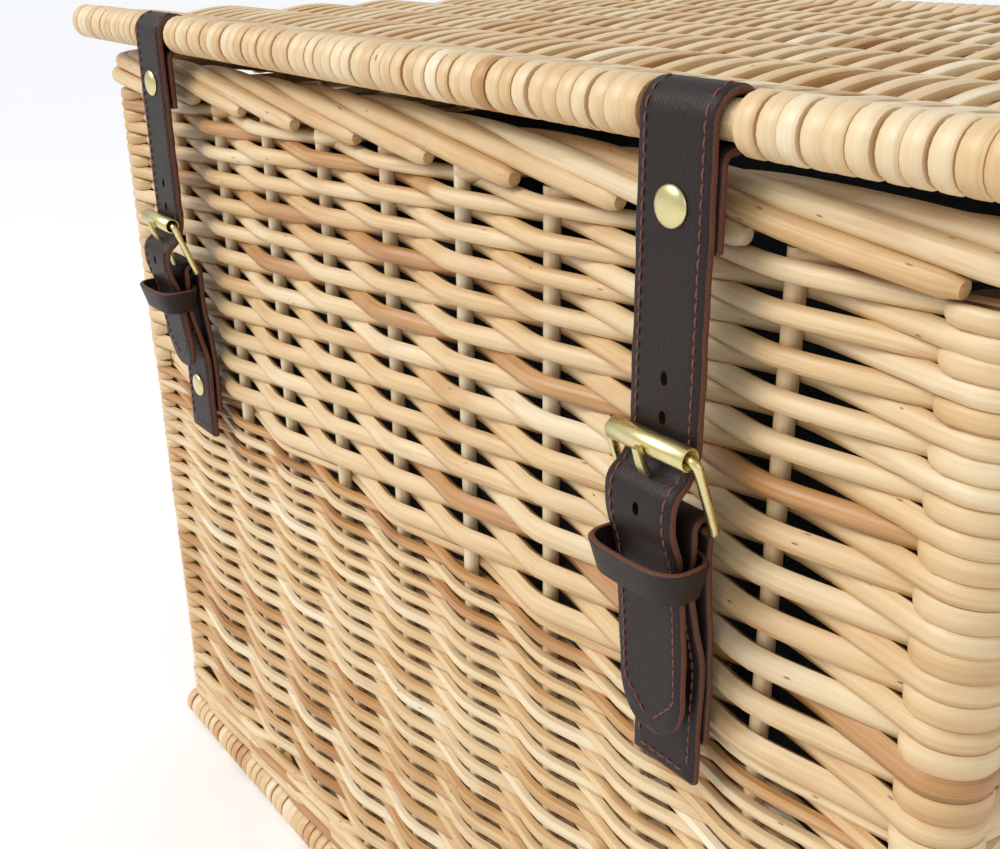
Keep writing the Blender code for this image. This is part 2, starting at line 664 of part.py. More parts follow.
def prong_way(name, surface, pivot):
    """Cutter: the room that the prong needs where it passes through the strap."""
    path = prong_stem()
    bm = bmesh.new()
    half_width = PRONG_WIDTH / 2 + PRONG_CLEARANCE
    add_strap(bm, path, PRONG_THICKNESS + 2 * PRONG_CLEARANCE, [half_width] * len(path))
    return add_object(name, bm, surface, parent=pivot)


def buckle(side_name, x, brass, leather):
    """The frame, roller and prong of one buckle. Gives the room that the prong needs in its strap."""
    bar = empty(f"buckle_pivot_{side_name}", (x, -HALF_DEPTH - BAR_OUT, BAR_Z), turn=BUCKLE_LEAN)
    top_bar = empty(f"roller_pivot_{side_name}", (0, 0, BUCKLE_HEIGHT), bar)
    buckle_frame(f"buckle_frame_{side_name}", brass, bar)
    roller(f"buckle_roller_{side_name}", brass, top_bar)
    prong(f"buckle_prong_{side_name}", brass, bar)
    return prong_way(f"prong_way_{side_name}", leather, bar)


def strap_set(side_name, x, leather, brass, hinge):
    """One closing strap with its buckle, keeper and rivets, and the hinge loop behind it."""
    way = buckle(side_name, x, brass, leather)
    pivot = empty(f"strap_pivot_{side_name}", (x, -LID_REACH, 0), hinge, LID_REST_TILT)
    closing_strap(f"closing_strap_{side_name}", TAIL_DROPS[side_name], leather, pivot, way)
    buckle_strap(f"buckle_strap_{side_name}", x, leather)
    keeper(f"keeper_{side_name}", x, leather)
    hinge_strap(f"hinge_strap_{side_name}", x, leather)

    two_layers = 2 * LAYER_STEP + GAP
    under_head = (0, -LOOP_RADIUS - LEATHER / 2 - GAP, RIM_HEIGHT - STRAP_RIVET_DROP - LID_FRONT_Z)
    rivet(f"strap_rivet_{side_name}", brass, under_head, FRONT, two_layers, pivot)
    wall_grip = two_layers + WALL_THICKNESS + GAP
    under_head = (x, -HALF_DEPTH - two_layers, BUCKLE_RIVET_Z)
    rivet(f"buckle_rivet_{side_name}", brass, under_head, FRONT, wall_grip)
    under_head = (x, HALF_DEPTH + two_layers, HINGE_RIVET_Z)
    rivet(f"hinge_rivet_{side_name}", brass, under_head, BACK, wall_grip)


def main():
    clear_scene()
    willow = material("willow", (0.66, 0.44, 0.22), 0.5)
    pale_willow = material("pale_willow", (0.76, 0.56, 0.33), 0.45)
    post_willow = material("post_willow", (0.42, 0.26, 0.13), 0.6)
    fabric = material("lining_fabric", (0.035, 0.042, 0.055), 0.95)
    leather = material("dark_leather", (0.035, 0.024, 0.022), 0.5)
    brass = material("pale_brass", (0.80, 0.72, 0.45), 0.25, 1.0)

    base_panel(pale_willow)
    uprights(willow, post_willow)
    cutters = (upright_bores(willow), wall_bores(willow))
    siding("lower_siding", BASE_THICKNESS + GAP, FINE_WEAVE_TOP, willow, cutters)
    siding("upper_siding", FINE_WEAVE_TOP + GAP, BORDER_BOTTOM - GAP, pale_willow, cutters)
    rim_border(pale_willow)
    lining(fabric)
    side_handle("side_handle_left", -1, pale_willow)
    side_handle("side_handle_right", 1, pale_willow)

    hinge = empty("lid_hinge_axis", (0, HINGE_Y, HINGE_Z), turn=-LID_REST_TILT)
    lid_panel(pale_willow, hinge)
    strap_set("left", -STRAP_X, leather, brass, hinge)
    strap_set("right", STRAP_X, leather, brass, hinge)


main()
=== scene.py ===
# %% [markdown] # A willow picnic hamper  The plain solids of this hamper are already packed. This
# lesson dresses them: every willow rod is woven one by one, the leather gets its stitches, and the
# metal its shine. Its box of sizes is noted first, because the dressed hamper has to fill the same
# box.

import math

import bmesh
import bpy
import numpy as np
from mathutils import Matrix, Vector


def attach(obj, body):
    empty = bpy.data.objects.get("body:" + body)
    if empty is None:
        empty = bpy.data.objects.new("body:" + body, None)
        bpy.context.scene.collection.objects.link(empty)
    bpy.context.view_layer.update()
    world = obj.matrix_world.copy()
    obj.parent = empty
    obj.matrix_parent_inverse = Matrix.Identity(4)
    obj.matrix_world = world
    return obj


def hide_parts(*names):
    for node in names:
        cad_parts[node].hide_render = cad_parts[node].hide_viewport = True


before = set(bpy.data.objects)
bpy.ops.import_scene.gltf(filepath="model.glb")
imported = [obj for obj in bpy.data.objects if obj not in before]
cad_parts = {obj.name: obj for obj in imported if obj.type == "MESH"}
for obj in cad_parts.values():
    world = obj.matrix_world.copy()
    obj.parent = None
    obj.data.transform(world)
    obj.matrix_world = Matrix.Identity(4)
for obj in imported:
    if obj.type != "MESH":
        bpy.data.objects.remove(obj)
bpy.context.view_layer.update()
rng = np.random.default_rng(7)

# %% [markdown]
# ## Sizes
#
# A basket maker works from a few sizes: the base, the wall, where the stakes stand, and how high the
# border sits. The rods could be placed by eye, but then the lid, the straps and the weave would each
# need their own numbers. Here the same few sizes, in metres, shape everything below.

# %% Sizes of the hamper
HALF_WIDTH, HALF_DEPTH = 0.198, 0.1325
RIM_HEIGHT, BORDER_BOTTOM, FINE_WEAVE_TOP = 0.311, 0.297, 0.186
WALL, CORNER = 0.013, 0.011
BASE_TOP = 0.0143
DRAWN_STAKE, POST_RADIUS = 0.0022, 0.007
POST_X, POST_Y = HALF_WIDTH - CORNER, HALF_DEPTH - CORNER
CORNER_BAY = 0.0414         # from a corner to the first stake of a long side
FRONT_STAKES, SIDE_STAKES = 9, 5
FRONT_PITCH = 2 * (POST_X - CORNER_BAY) / (FRONT_STAKES - 1)
SIDE_PITCH = 2 * POST_Y / (SIDE_STAKES + 1)
STRAP_X = 3.5 * FRONT_PITCH
SIDES_X = {"left": -STRAP_X, "right": STRAP_X}
print("stakes", round(FRONT_PITCH * 1000, 1), "mm apart in front,",
      round(SIDE_PITCH * 1000, 1), "at the sides")

# %% Sizes of the lid and the leather
ROLL_RADIUS, CORE_RADIUS = 0.0062, 0.0040
HINGE_OUT = 0.003           # the lid's back stick stands this far behind the wall
HINGE_Y, HINGE_Z = HALF_DEPTH + HINGE_OUT, RIM_HEIGHT + 0.0005 + ROLL_RADIUS
LID_REACH, LID_TILT = 2 * HALF_DEPTH + 2 * HINGE_OUT, math.radians(0.85)
LID_HALF_WIDTH = 0.204
LID_FRONT_Y = HINGE_Y - LID_REACH * math.cos(LID_TILT)
LID_FRONT_Z = HINGE_Z + LID_REACH * math.sin(LID_TILT)
LEATHER, STRAP_HALF = 0.0022, 0.010
LOOP_RADIUS = CORE_RADIUS + 0.0004 + LEATHER / 2
LAYER_STEP = LEATHER + 0.0003
print("the lid reaches", round(LID_REACH * 1000), "mm and rises", round((LID_FRONT_Z - HINGE_Z) * 1000, 1),
      "mm to its front")

# %% [markdown]
# ## Shader maths
#
# A finish is a small graph of nodes. It could be wired node by node, but writing
# `0.4 + 0.2 * streak` is easier to read than three nodes and four links, so a thin class turns
# Python's operators into Math nodes.

# %% Numbers that vary over a surface
class Value:
    """An output socket. Arithmetic on it adds Math nodes to the same finish."""

    def __init__(self, finish, socket):
        self.finish, self.socket = finish, socket

    def math(self, operation, *values):
        return self.finish.node("Math", dict(operation=operation), dict(enumerate(values)))

    def __add__(self, other):
        return self.math("ADD", self, other)

    def __mul__(self, other):
        return self.math("MULTIPLY", self, other)

    def __sub__(self, other):
        return self.math("SUBTRACT", self, other)

    def __rsub__(self, other):
        return self.math("SUBTRACT", other, self)

    __radd__, __rmul__ = __add__, __mul__


print("a value knows", sorted(n for n in vars(Value) if n.endswith(("add__", "mul__", "sub__"))))


# %% Finishes
class Finish:
    """A named material whose nodes are added by one method."""

    def __init__(self, name):
        self.material = bpy.data.materials.new(name)
        self.material.use_nodes = True
        self.tree = self.material.node_tree
        self.tree.nodes.clear()

    def node(self, kind, settings=None, values=None, out=0):
        """A node of a kind: first its settings (a ramp's are its stops), then its sockets."""
        made = self.tree.nodes.new("ShaderNode" + kind)
        for name, value in (settings or {}).items():
            if name == "stops":
                ramp = made.color_ramp
                while len(ramp.elements) < len(value):
                    ramp.elements.new(0.5)
                for element, (place, colour) in zip(ramp.elements, value):
                    element.position = place
                    element.color = (*colour, 1.0)
            else:
                setattr(made, name, value)
        for key, value in (values or {}).items():
            if isinstance(value, Value):
                self.tree.links.new(value.socket, made.inputs[key])
            else:
                made.inputs[key].default_value = value
        return Value(self, made.outputs[out])

    def mix(self, share, first, second):
        """A colour between two others."""
        colours = [(*c, 1.0) if isinstance(c, tuple) else c for c in (first, second)]
        return self.node("Mix", dict(data_type="RGBA"), {0: share, 6: colours[0], 7: colours[1]}, out=2)

    def noise(self, vector, scale, detail=3.0, roughness=0.55):
        """Cloudy noise over a vector, scaled per axis."""
        stretched = self.node("VectorMath", dict(operation="MULTIPLY"), {0: vector, 1: scale})
        return self.node("TexNoise", {}, {"Vector": stretched, "Scale": 1.0, "Detail": detail,
                                          "Roughness": roughness})

    def between(self, value, low, high):
        """0 below low, 1 above high, smooth between."""
        return self.node("MapRange", dict(interpolation_type="SMOOTHSTEP"), {0: value, 1: low, 2: high})

    def object_place(self):
        return self.node("TexCoord", out=3)

    def grain_place(self):
        return self.node("UVMap", dict(uv_map="grain"))

    def attribute(self, name):
        return self.node("Attribute", dict(attribute_name=name), out=2)

    def finish(self, values, height=None, depth=0.0002, strength=1.0):
        """Ends the graph in a Principled shader, with a bump from height."""
        if height is not None:
            values["Normal"] = self.node("Bump", {}, {"Height": height, "Distance": depth,
                                                      "Strength": strength})
        shader = self.node("BsdfPrincipled", {}, values)
        output = self.tree.nodes.new("ShaderNodeOutputMaterial")
        self.tree.links.new(shader.socket, output.inputs["Surface"])
        return self.material


print("a finish can add:", [n for n in vars(Finish) if not n.startswith("_")])

# %% [markdown]
# ## Willow
#
# Peeled and boiled willow is honey coloured, with fine streaks along each rod, reddish blushes, small
# knots where twigs grew, and a satin skin. One flat colour would make plastic of it. Each rod carries
# its own tone as an attribute, because no two rods are alike, with a painted shade on its underside
# and at a band's seams, and the grain map runs along the rod, so that the streaks follow every bend.

# %% Willow finish
def willow(name, stops):
    """The tone of a rod, with the painted shade on its underside and at a band's seams, moved by streaks
    along it and clouds over the hamper, picks a colour.
    """
    f = Finish(name)
    place = f.grain_place()
    streak = f.noise(place, (22.0, 900.0, 1.0), 4.0, 0.62)
    cloud = f.noise(f.object_place(), (26.0, 26.0, 26.0), 2.0)
    tone = f.attribute("tone") + 0.55 * (streak - 0.5) + 0.45 * (cloud - 0.5)
    colour = f.node("ValToRGB", dict(stops=stops), {0: tone})
    stretched = f.node("VectorMath", dict(operation="MULTIPLY"), {0: place, 1: (42.0, 170.0, 1.0)})
    spot = f.node("TexVoronoi", dict(voronoi_dimensions="2D"), {"Vector": stretched, "Scale": 1.0})
    rare = f.between(f.noise(place, (95.0, 60.0, 1.0), 1.0), 0.52, 0.58)
    knot = (1 - f.between(spot, 0.018, 0.045)) * rare
    blush = f.between(f.noise(place, (30.0, 160.0, 1.0), 3.0), 0.52, 0.72)
    colour = f.mix(blush * 0.38, colour, (0.46, 0.20, 0.065))
    colour = f.mix(knot * 0.85, colour, (0.22, 0.07, 0.02))
    fibre = f.noise(place, (60.0, 3200.0, 1.0), 2.0)
    height = streak * 0.7 + fibre * 0.3 - knot * 0.6
    return f.finish({"Base Color": colour, "Roughness": 0.30 + 0.20 * streak, "Specular IOR Level": 0.55},
                    height, 0.00035, 0.7)


PALE = ((0.0, (0.23, 0.085, 0.022)), (0.28, (0.46, 0.235, 0.080)), (0.55, (0.62, 0.425, 0.210)),
        (0.85, (0.72, 0.58, 0.370)), (1.0, (0.76, 0.66, 0.48)))
BROWN = ((0.0, (0.08, 0.03, 0.012)), (0.5, (0.20, 0.085, 0.032)), (1.0, (0.36, 0.18, 0.075)))
WILLOW = willow("willow_rods", PALE)
POST_WILLOW = willow("post_willow_rods", BROWN)
print("willow finishes:", WILLOW.name, POST_WILLOW.name)

# %% [markdown]
# ## Leather, thread, brass and cloth
#
# The straps are dark hide with raw reddish edges. An attribute marks the cut edges, so one material
# makes both and the border between them can be ragged. The thread is waxed, the brass has a little
# tarnish, and the lining is a dark felt with pale flecks.

# %% Leather and thread
def leather():
    """Dark brown hide: a fine pebbled grain, a cool sheen, and raw reddish fibre on the cut edges."""
    f = Finish("dark_leather_hide")
    place = f.object_place()
    pebbles = f.node("TexVoronoi", dict(feature="SMOOTH_F1"), {"Vector": place, "Scale": 1500.0})
    wear = f.noise(place, (90.0, 90.0, 90.0), 4.0)
    fibre = f.noise(place, (2600.0, 2600.0, 2600.0), 3.0)
    edge = f.between(f.attribute("edge") + 0.5 * (fibre - 0.5), 0.35, 0.75)
    hide = f.mix(wear, (0.009, 0.0050, 0.0045), (0.022, 0.0115, 0.0092))
    colour = f.mix(edge, hide, f.mix(fibre, (0.040, 0.013, 0.008), (0.20, 0.075, 0.042)))
    height = pebbles * 0.5 + fibre * 0.3 + wear * 0.6
    return f.finish({"Base Color": colour, "Roughness": 0.38 + 0.20 * wear + 0.2 * edge,
                     "Specular IOR Level": 0.26}, height, 0.0003, 0.6)


def thread():
    """Waxed reddish thread with a twist."""
    f = Finish("reddish_thread")
    twist = f.noise(f.grain_place(), (900.0, 2000.0, 1.0), 2.0)
    colour = f.mix(twist, (0.075, 0.022, 0.012), (0.22, 0.072, 0.042))
    return f.finish({"Base Color": colour, "Roughness": 0.6}, twist, 0.0001, 0.8)


HIDE, THREAD = leather(), thread()
print("leather work:", HIDE.name, THREAD.name)


# %% Brass and lining cloth
def brass():
    """Pale lacquered brass: clear reflections, a few soft scratches and a little tarnish."""
    f = Finish("pale_brass_metal")
    place = f.object_place()
    tarnish = f.noise(place, (160.0, 160.0, 160.0), 4.0)
    scratch = f.noise(place, (3500.0, 500.0, 900.0), 2.0)
    colour = f.mix(tarnish, (0.80, 0.71, 0.38), (0.60, 0.50, 0.22))
    roughness = 0.17 + 0.16 * tarnish + 0.06 * scratch
    return f.finish({"Base Color": colour, "Metallic": 1.0, "Roughness": roughness}, scratch, 0.00004, 0.4)


def lining_cloth():
    """Dark felted cloth, charcoal blue with fine pale specks."""
    f = Finish("lining_cloth")
    place = f.object_place()
    fleck = f.noise(place, (1400.0, 1400.0, 1400.0), 3.0)
    cloud = f.noise(place, (60.0, 60.0, 60.0), 3.0)
    felt = f.mix(cloud, (0.012, 0.015, 0.019), (0.032, 0.039, 0.048))
    colour = f.mix(f.between(fleck, 0.60, 0.74) * 0.6, felt, (0.20, 0.24, 0.29))
    return f.finish({"Base Color": colour, "Roughness": 0.9, "Sheen Weight": 0.2},
                    fleck + cloud, 0.0003, 0.6)


BRASS, CLOTH = brass(), lining_cloth()
print("metal and cloth:", BRASS.name, CLOTH.name)

# %% [markdown]
# ## Arrays into meshes
#
# Blender can build a mesh vertex by vertex, which is slow for thousands of rods. Here a shape is
# worked out as whole arrays and handed over at once. Every piece sits at the origin with its place in
# its mesh, says which body it rides on, and says which plain solids it stands for.

# %% Put arrays into a piece
def piece(name, points, faces, grain, marks, surface, body, slot, replaces=()):
    """A mesh object from points (n, 3) and lists of face arrays, with its grain map and point marks."""
    mesh = bpy.data.meshes.new(name)
    loops = np.concatenate([f.ravel() for f in faces]).astype(np.int32)
    sizes = np.concatenate([np.full(len(f), f.shape[1]) for f in faces])
    starts = np.concatenate([[0], np.cumsum(sizes)[:-1]]).astype(np.int32)
    mesh.vertices.add(len(points))
    mesh.vertices.foreach_set("co", np.asarray(points, np.float32).ravel())
    mesh.loops.add(len(loops))
    mesh.loops.foreach_set("vertex_index", loops)
    mesh.polygons.add(len(sizes))
    mesh.polygons.foreach_set("loop_start", starts)
    mesh.update(calc_edges=True)
    mesh.uv_layers.new(name="grain").data.foreach_set("uv", np.asarray(grain, np.float32).ravel())
    for mark, values in marks.items():
        stored = mesh.attributes.new(mark, "FLOAT", "POINT").data
        stored.foreach_set("value", np.asarray(values, np.float32).ravel())
    mesh.validate()
    mesh.shade_smooth()
    mesh.set_sharp_from_angle(angle=math.radians(50))
    mesh.materials.append(surface)
    obj = bpy.data.objects.new(name, mesh)
    bpy.context.scene.collection.objects.link(obj)
    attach(obj, body)
    if replaces:
        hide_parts(*replaces)
    print(f"{name}: {int((sizes - 2).sum())} triangles")
    return obj


# %% Sections
def unit(vectors):
    """Each vector divided by its length."""
    return vectors / np.maximum(np.linalg.norm(vectors, axis=-1, keepdims=True), 1e-12)


def angles(count):
    """Even angles round a circle, the last one short of the first."""
    return np.linspace(0, 2 * np.pi, count, endpoint=False)


def round_section(sides):
    """(cos a, sin a) at even angles."""
    return np.stack([np.cos(angles(sides)), np.sin(angles(sides))], axis=1)


# painted shade: how much a rod's tone is darkened on the side that faces down
PAINTED_UNDERSIDE_SHADE = 0.17            # tone a rod loses on the side that faces the ground
BAND = np.sign(round_section(10)) * np.abs(round_section(10)) ** np.array([0.50, 0.70])
print("a band is a circle pulled towards a square:", np.round(BAND[1], 2))

# %% [markdown]
# ## One way to make a rod
#
# Almost everything here is a section carried along a path: a round rod, a flat strap, a wire, a
# stitch. A Bezier curve with a bevel could do it too, but not with a section that changes size both
# ways, nor with a grain map that starts somewhere else on every rod. One function makes them all,
# many paths at a time.

# %% Carry a section along paths
def sweep(paths, across, sizes, section, tone=0.5, closed=False, start=0.0, painted_seam_shade=0.0):
    """Carries a section along many paths at once.

    A point is path + across * section_x * size_0 + (tangent x across) * section_y * size_1.
    paths and across are (rods, steps, 3) and sizes (rods, steps, 2). Open rods get flat ends. The tone
    falls by a painted shade where the surface faces down, and by a painted shade at the section's two
    sides, where bands meet, as strong as asked for the seams.
    """
    rods, steps = paths.shape[:2]
    sides = len(section)
    if closed:
        tangent = np.roll(paths, -1, axis=1) - np.roll(paths, 1, axis=1)
        strides = np.linalg.norm(np.roll(paths, -1, axis=1) - paths, axis=2)
    else:
        tangent = np.gradient(paths, axis=1)
        strides = np.linalg.norm(np.diff(paths, axis=1), axis=2)
    tangent = unit(tangent)
    across = np.broadcast_to(across, paths.shape)
    across = unit(across - tangent * (across * tangent).sum(2, keepdims=True))
    other = np.cross(tangent, across)
    sizes = np.broadcast_to(sizes, (rods, steps, 2))
    points = (paths[:, :, None] + across[:, :, None] * (sizes[:, :, None, :1] * section[:, :1])
              + other[:, :, None] * (sizes[:, :, None, 1:] * section[:, 1:]))
    ring = np.arange(rods * steps * sides).reshape(rods, steps, sides)
    near = ring if closed else ring[:, :-1]
    far = np.roll(ring, -1, axis=1) if closed else ring[:, 1:]
    quads = np.stack([near, np.roll(near, -1, 2), np.roll(far, -1, 2), far], axis=-1).reshape(-1, 4)
    along = np.concatenate([np.zeros((rods, 1)), np.cumsum(strides, axis=1)], axis=1) + start
    along = np.broadcast_to(along[:, :, None], (rods, along.shape[1], sides))
    girth = np.mean(sizes) * 2 * np.pi * np.arange(sides + 1) / sides
    u0, u1 = along[:, :-1], along[:, 1:]
    low, high = np.broadcast_to(girth[:-1], u0.shape), np.broadcast_to(girth[1:], u0.shape)
    drift = np.broadcast_to(np.asarray(start, float).reshape(-1, 1, 1) * 3.1, u0.shape)
    corners = ((u0, low), (u0, high), (u1, high), (u1, low))
    grain = np.stack([np.stack([u, v + drift], -1) for u, v in corners], axis=-2).reshape(-1, 2)
    # painted shade: darker where the surface faces down, and at a band's two sides where bands meet
    down_facing_shade_mask = np.clip(-unit(points - paths[:, :, None])[..., 2], 0, 1)
    tone = np.asarray(tone, float).reshape(rods, -1, 1) if np.ndim(tone) else tone
    marks = (tone - PAINTED_UNDERSIDE_SHADE * down_facing_shade_mask - painted_seam_shade * section[:, 0] ** 8).reshape(-1)
    points, faces = points.reshape(-1, 3), [quads]
    if not closed:
        points, ends, grain, marks = flat_ends(points, paths, ring, section, sizes, grain, marks)
        faces += ends
    return points, faces, grain, {"tone": marks}


def flat_ends(points, paths, ring, section, sizes, grain, marks):
    """A fan of triangles round the middle of each end, in the end's own tone."""
    rods = len(paths)
    hub = len(points) + np.arange(rods)
    points = np.concatenate([points, paths[:, 0], paths[:, -1]])
    head, tail = ring[:, 0], ring[:, -1]
    head_hub = np.broadcast_to(hub[:, None], head.shape)
    tail_hub = np.broadcast_to(hub[:, None] + rods, tail.shape)
    fans = [np.stack([head_hub, np.roll(head, -1, 1), head], -1).reshape(-1, 3),
            np.stack([tail_hub, tail, np.roll(tail, -1, 1)], -1).reshape(-1, 3)]
    caps = section * np.mean(sizes)
    corner = np.stack([np.zeros_like(caps), caps, np.roll(caps, -1, 0)], axis=1)
    grain = np.concatenate([grain, np.tile(corner.reshape(-1, 2), (2 * rods, 1))])
    own = marks.reshape(ring.shape)
    return points, fans, grain, np.concatenate([marks, own[:, 0, 0], own[:, -1, 0]])


# %% Join sweeps and draw smooth curves
def joined(parts):
    """Several sweeps as one."""
    points, faces, grain, tones, count = [], [], [], [], 0
    for part_points, part_faces, part_grain, marks in parts:
        points.append(part_points)
        faces += [f + count for f in part_faces]
        grain.append(part_grain)
        tones.append(marks["tone"])
        count += len(part_points)
    return np.concatenate(points), faces, np.concatenate(grain), {"tone": np.concatenate(tones)}


def lengths_along(path):
    """How far each point of a path is from its start."""
    return np.concatenate([[0], np.cumsum(np.linalg.norm(np.diff(path, axis=0), axis=1))])


def curve(places, knots, at):
    """A smooth curve through knots (n, k) at places (n,), read off at `at`.

    It is a cubic Hermite curve with the mean slope at each knot.
    """
    places, knots = np.asarray(places, float), np.asarray(knots, float)
    slope = np.gradient(knots, places, axis=0)
    i = np.clip(np.searchsorted(places, at, side="right") - 1, 0, len(places) - 2)
    gap = places[i + 1] - places[i]
    t = (at - places[i]) / gap
    t, gap = t[..., None], gap[..., None]
    return ((2 * t**3 - 3 * t**2 + 1) * knots[i] + (t**3 - 2 * t**2 + t) * gap * slope[i]
            + (3 * t**2 - 2 * t**3) * knots[i + 1] + (t**3 - t**2) * gap * slope[i + 1])


def smooth_step(share):
    """0 below 0, 1 above 1, and 3 s^2 - 2 s^3 between them."""
    share = np.clip(share, 0, 1)
    return share * share * (3 - 2 * share)


print("half way between two knots:", curve([0, 1, 2], [[0, 0], [1, 2], [2, 0]], np.array([0.5]))[0])

# %% [markdown]
# ## The wall's plan
#
# Every weaver runs round the same plan: four straight sides and four quarter turns round the corner
# posts. Each side could have its own formula, but a rod has to turn the corner without a join.
# Walking a distance round the plan and stepping in by a depth gives any point of the wall.

# %% Walking round the wall
QUARTER = math.pi / 2 * CORNER
LENGTHS = np.array([2 * POST_X, QUARTER, 2 * POST_Y, QUARTER] * 2)
STARTS = np.concatenate([[0.0], np.cumsum(LENGTHS)])
ROUND = STARTS[-1]
CORNERS = np.array([(POST_X, -POST_Y), (POST_X, POST_Y), (-POST_X, POST_Y), (-POST_X, -POST_Y)])


def wall_point(distance, depth, height):
    """The point a distance round the outer face, a depth inside it, and the way out of the wall there.

    A straight point is corner - ahead * what is left of the side; a turning one is corner + CORNER * out.
    """
    s = np.mod(distance, ROUND)
    part = np.clip(np.searchsorted(STARTS, s, side="right") - 1, 0, 7)
    left = s - STARTS[part]
    side = part // 2
    turning = part % 2
    angle = -np.pi / 2 + side * np.pi / 2 + turning * left / CORNER
    out = np.stack([np.cos(angle), np.sin(angle)], -1)
    ahead = np.stack([-np.sin(angle), np.cos(angle)], -1)
    straight = CORNERS[side] - ahead * (LENGTHS[part] - left)[..., None]
    base = np.where((turning == 1)[..., None], CORNERS[side], straight)
    flat = base + out * (CORNER - depth)[..., None]
    height = np.broadcast_to(height, flat.shape[:-1])
    points = np.concatenate([flat, height[..., None]], -1)
    return points, np.concatenate([out, np.zeros_like(out[..., :1])], -1)


print("once round the wall:", round(ROUND, 3), "m")

# %% Where the uprights stand
front = CORNER_BAY + FRONT_PITCH * np.arange(FRONT_STAKES)
side = SIDE_PITCH * (1 + np.arange(SIDE_STAKES))
stake_at = np.concatenate([front, STARTS[2] + side, STARTS[4] + front, STARTS[6] + side])
post_at = STARTS[[2, 4, 6, 8]] - QUARTER / 2
upright_at = np.sort(np.concatenate([stake_at, post_at]))
BAYS = len(upright_at)
around = np.concatenate([upright_at - ROUND, upright_at, upright_at + ROUND])


def bay(distance):
    """How many uprights have been passed, growing smoothly between them."""
    return np.interp(distance, around, np.arange(-BAYS, 2 * BAYS))


samples = []
for k, length in enumerate(LENGTHS):
    if k % 2:
        samples.append(STARTS[k] + length * np.arange(8) / 8)
    else:
        here = [STARTS[k], *[u for u in upright_at if STARTS[k] < u < STARTS[k + 1]], STARTS[k + 1]]
        samples += [a + (b - a) * np.arange(7) / 7 for a, b in zip(here, here[1:])]
WALK = np.concatenate(samples)
print(BAYS, "uprights;", len(WALK), "steps in a row")

# %% [markdown]
# ## The siding
#
# Randing is one rod in front of a stake and behind the next, and the row above does the opposite.
# The lower half uses thin rods packed tightly, the upper half thicker ones. A bump map on a box would
# show no gaps and no edge, so each row is one closed ring of real rod whose depth is a rounded wave.
# Round a corner post the outer rows lie flat, and short bands close the post between them.

# %% How a row behaves
POST_WRAP = 0.0026          # depth of a rod's middle where it turns round a post
WEAVE_MIDDLE = 0.0060       # depth of the stakes' middles, which the weave wanders about
FRESH_ROD = 0.62            # the tone of most rods


def flare(height):
    """How much wider the corner wraps grow towards the rim."""
    return 0.0045 * np.clip((height - 0.15) / 0.14, 0, 1)


def near_post(distance, height):
    """1 at a corner post, falling to 0 some 14 mm away, and further away towards the rim."""
    gap = np.abs((distance[:, None] - post_at + ROUND / 2) % ROUND - ROUND / 2).min(axis=1)
    return smooth_step(1 - np.maximum(gap[None] - 0.004 - flare(height), 0) / 0.011)


def row_tones(rows, spread, dark_share):
    """A tone for every step of every row: a new rod starts every 8 to 14 bays, behind a stake."""
    run = rng.uniform(8, 14, rows)
    fresh = rng.normal(FRESH_ROD, spread, (rows, 8))
    table = np.clip(fresh - 0.30 * (rng.random((rows, 8)) < dark_share), 0.02, 0.98)
    first = rng.uniform(0, BAYS, (rows, 1))
    index = np.floor((bay(WALK)[None] + first) / run[:, None]).astype(int) % 8
    return np.take_along_axis(table, index, axis=1)


def waves(rows, size):
    """Slow wandering of each row, shared by its neighbours, with a little of its own."""
    angle = 2 * np.pi * WALK / ROUND
    shared = sum(np.sin(n * angle + p) / n for n, p in ((3, 0.4), (5, 2.1), (9, 4.0)))
    own = sum(np.sin(n * angle[None] + rng.uniform(0, 6.3, (rows, 1))) / n**0.5 for n in (7, 13, 22, 31))
    return size * (1.6 * shared[None] + 0.45 * own)


print("the corner wraps grow by", round(float(flare(RIM_HEIGHT)) * 1000, 1), "mm at the rim")


# %% Rows of randing
def post_bands(height, half, thick):
    """Short bands that close each post between the rows going round it: a half turn, ends tucked in."""
    steps = 15
    swing = QUARTER / 2 + 0.0042 + flare(height)[:, None, None]
    t = np.linspace(-1, 1, steps)
    spots = (post_at[None, :, None] + swing * t[None, None]).reshape(-1, steps)
    tuck = np.clip((np.abs(t) - 0.70) / 0.30, 0, 1) ** 2
    z = np.repeat(height, 4)[:, None] + 0 * spots
    paths, out = wall_point(spots, POST_WRAP + 0.0030 * tuck[None] + 0 * spots, z)
    shrink = 1 - 0.35 * tuck[None]
    sizes = np.stack([np.repeat(thick, 4)[:, None] * 0.66 * shrink,
                      np.repeat(half, 4)[:, None] * 0.94 * shrink], -1)
    return sweep(paths, out, sizes, BAND[:, ::-1] * [1, -1], rng.uniform(0.45, 0.75, (len(spots), 1)),
                 start=rng.uniform(0, 9, (len(spots), 1)))


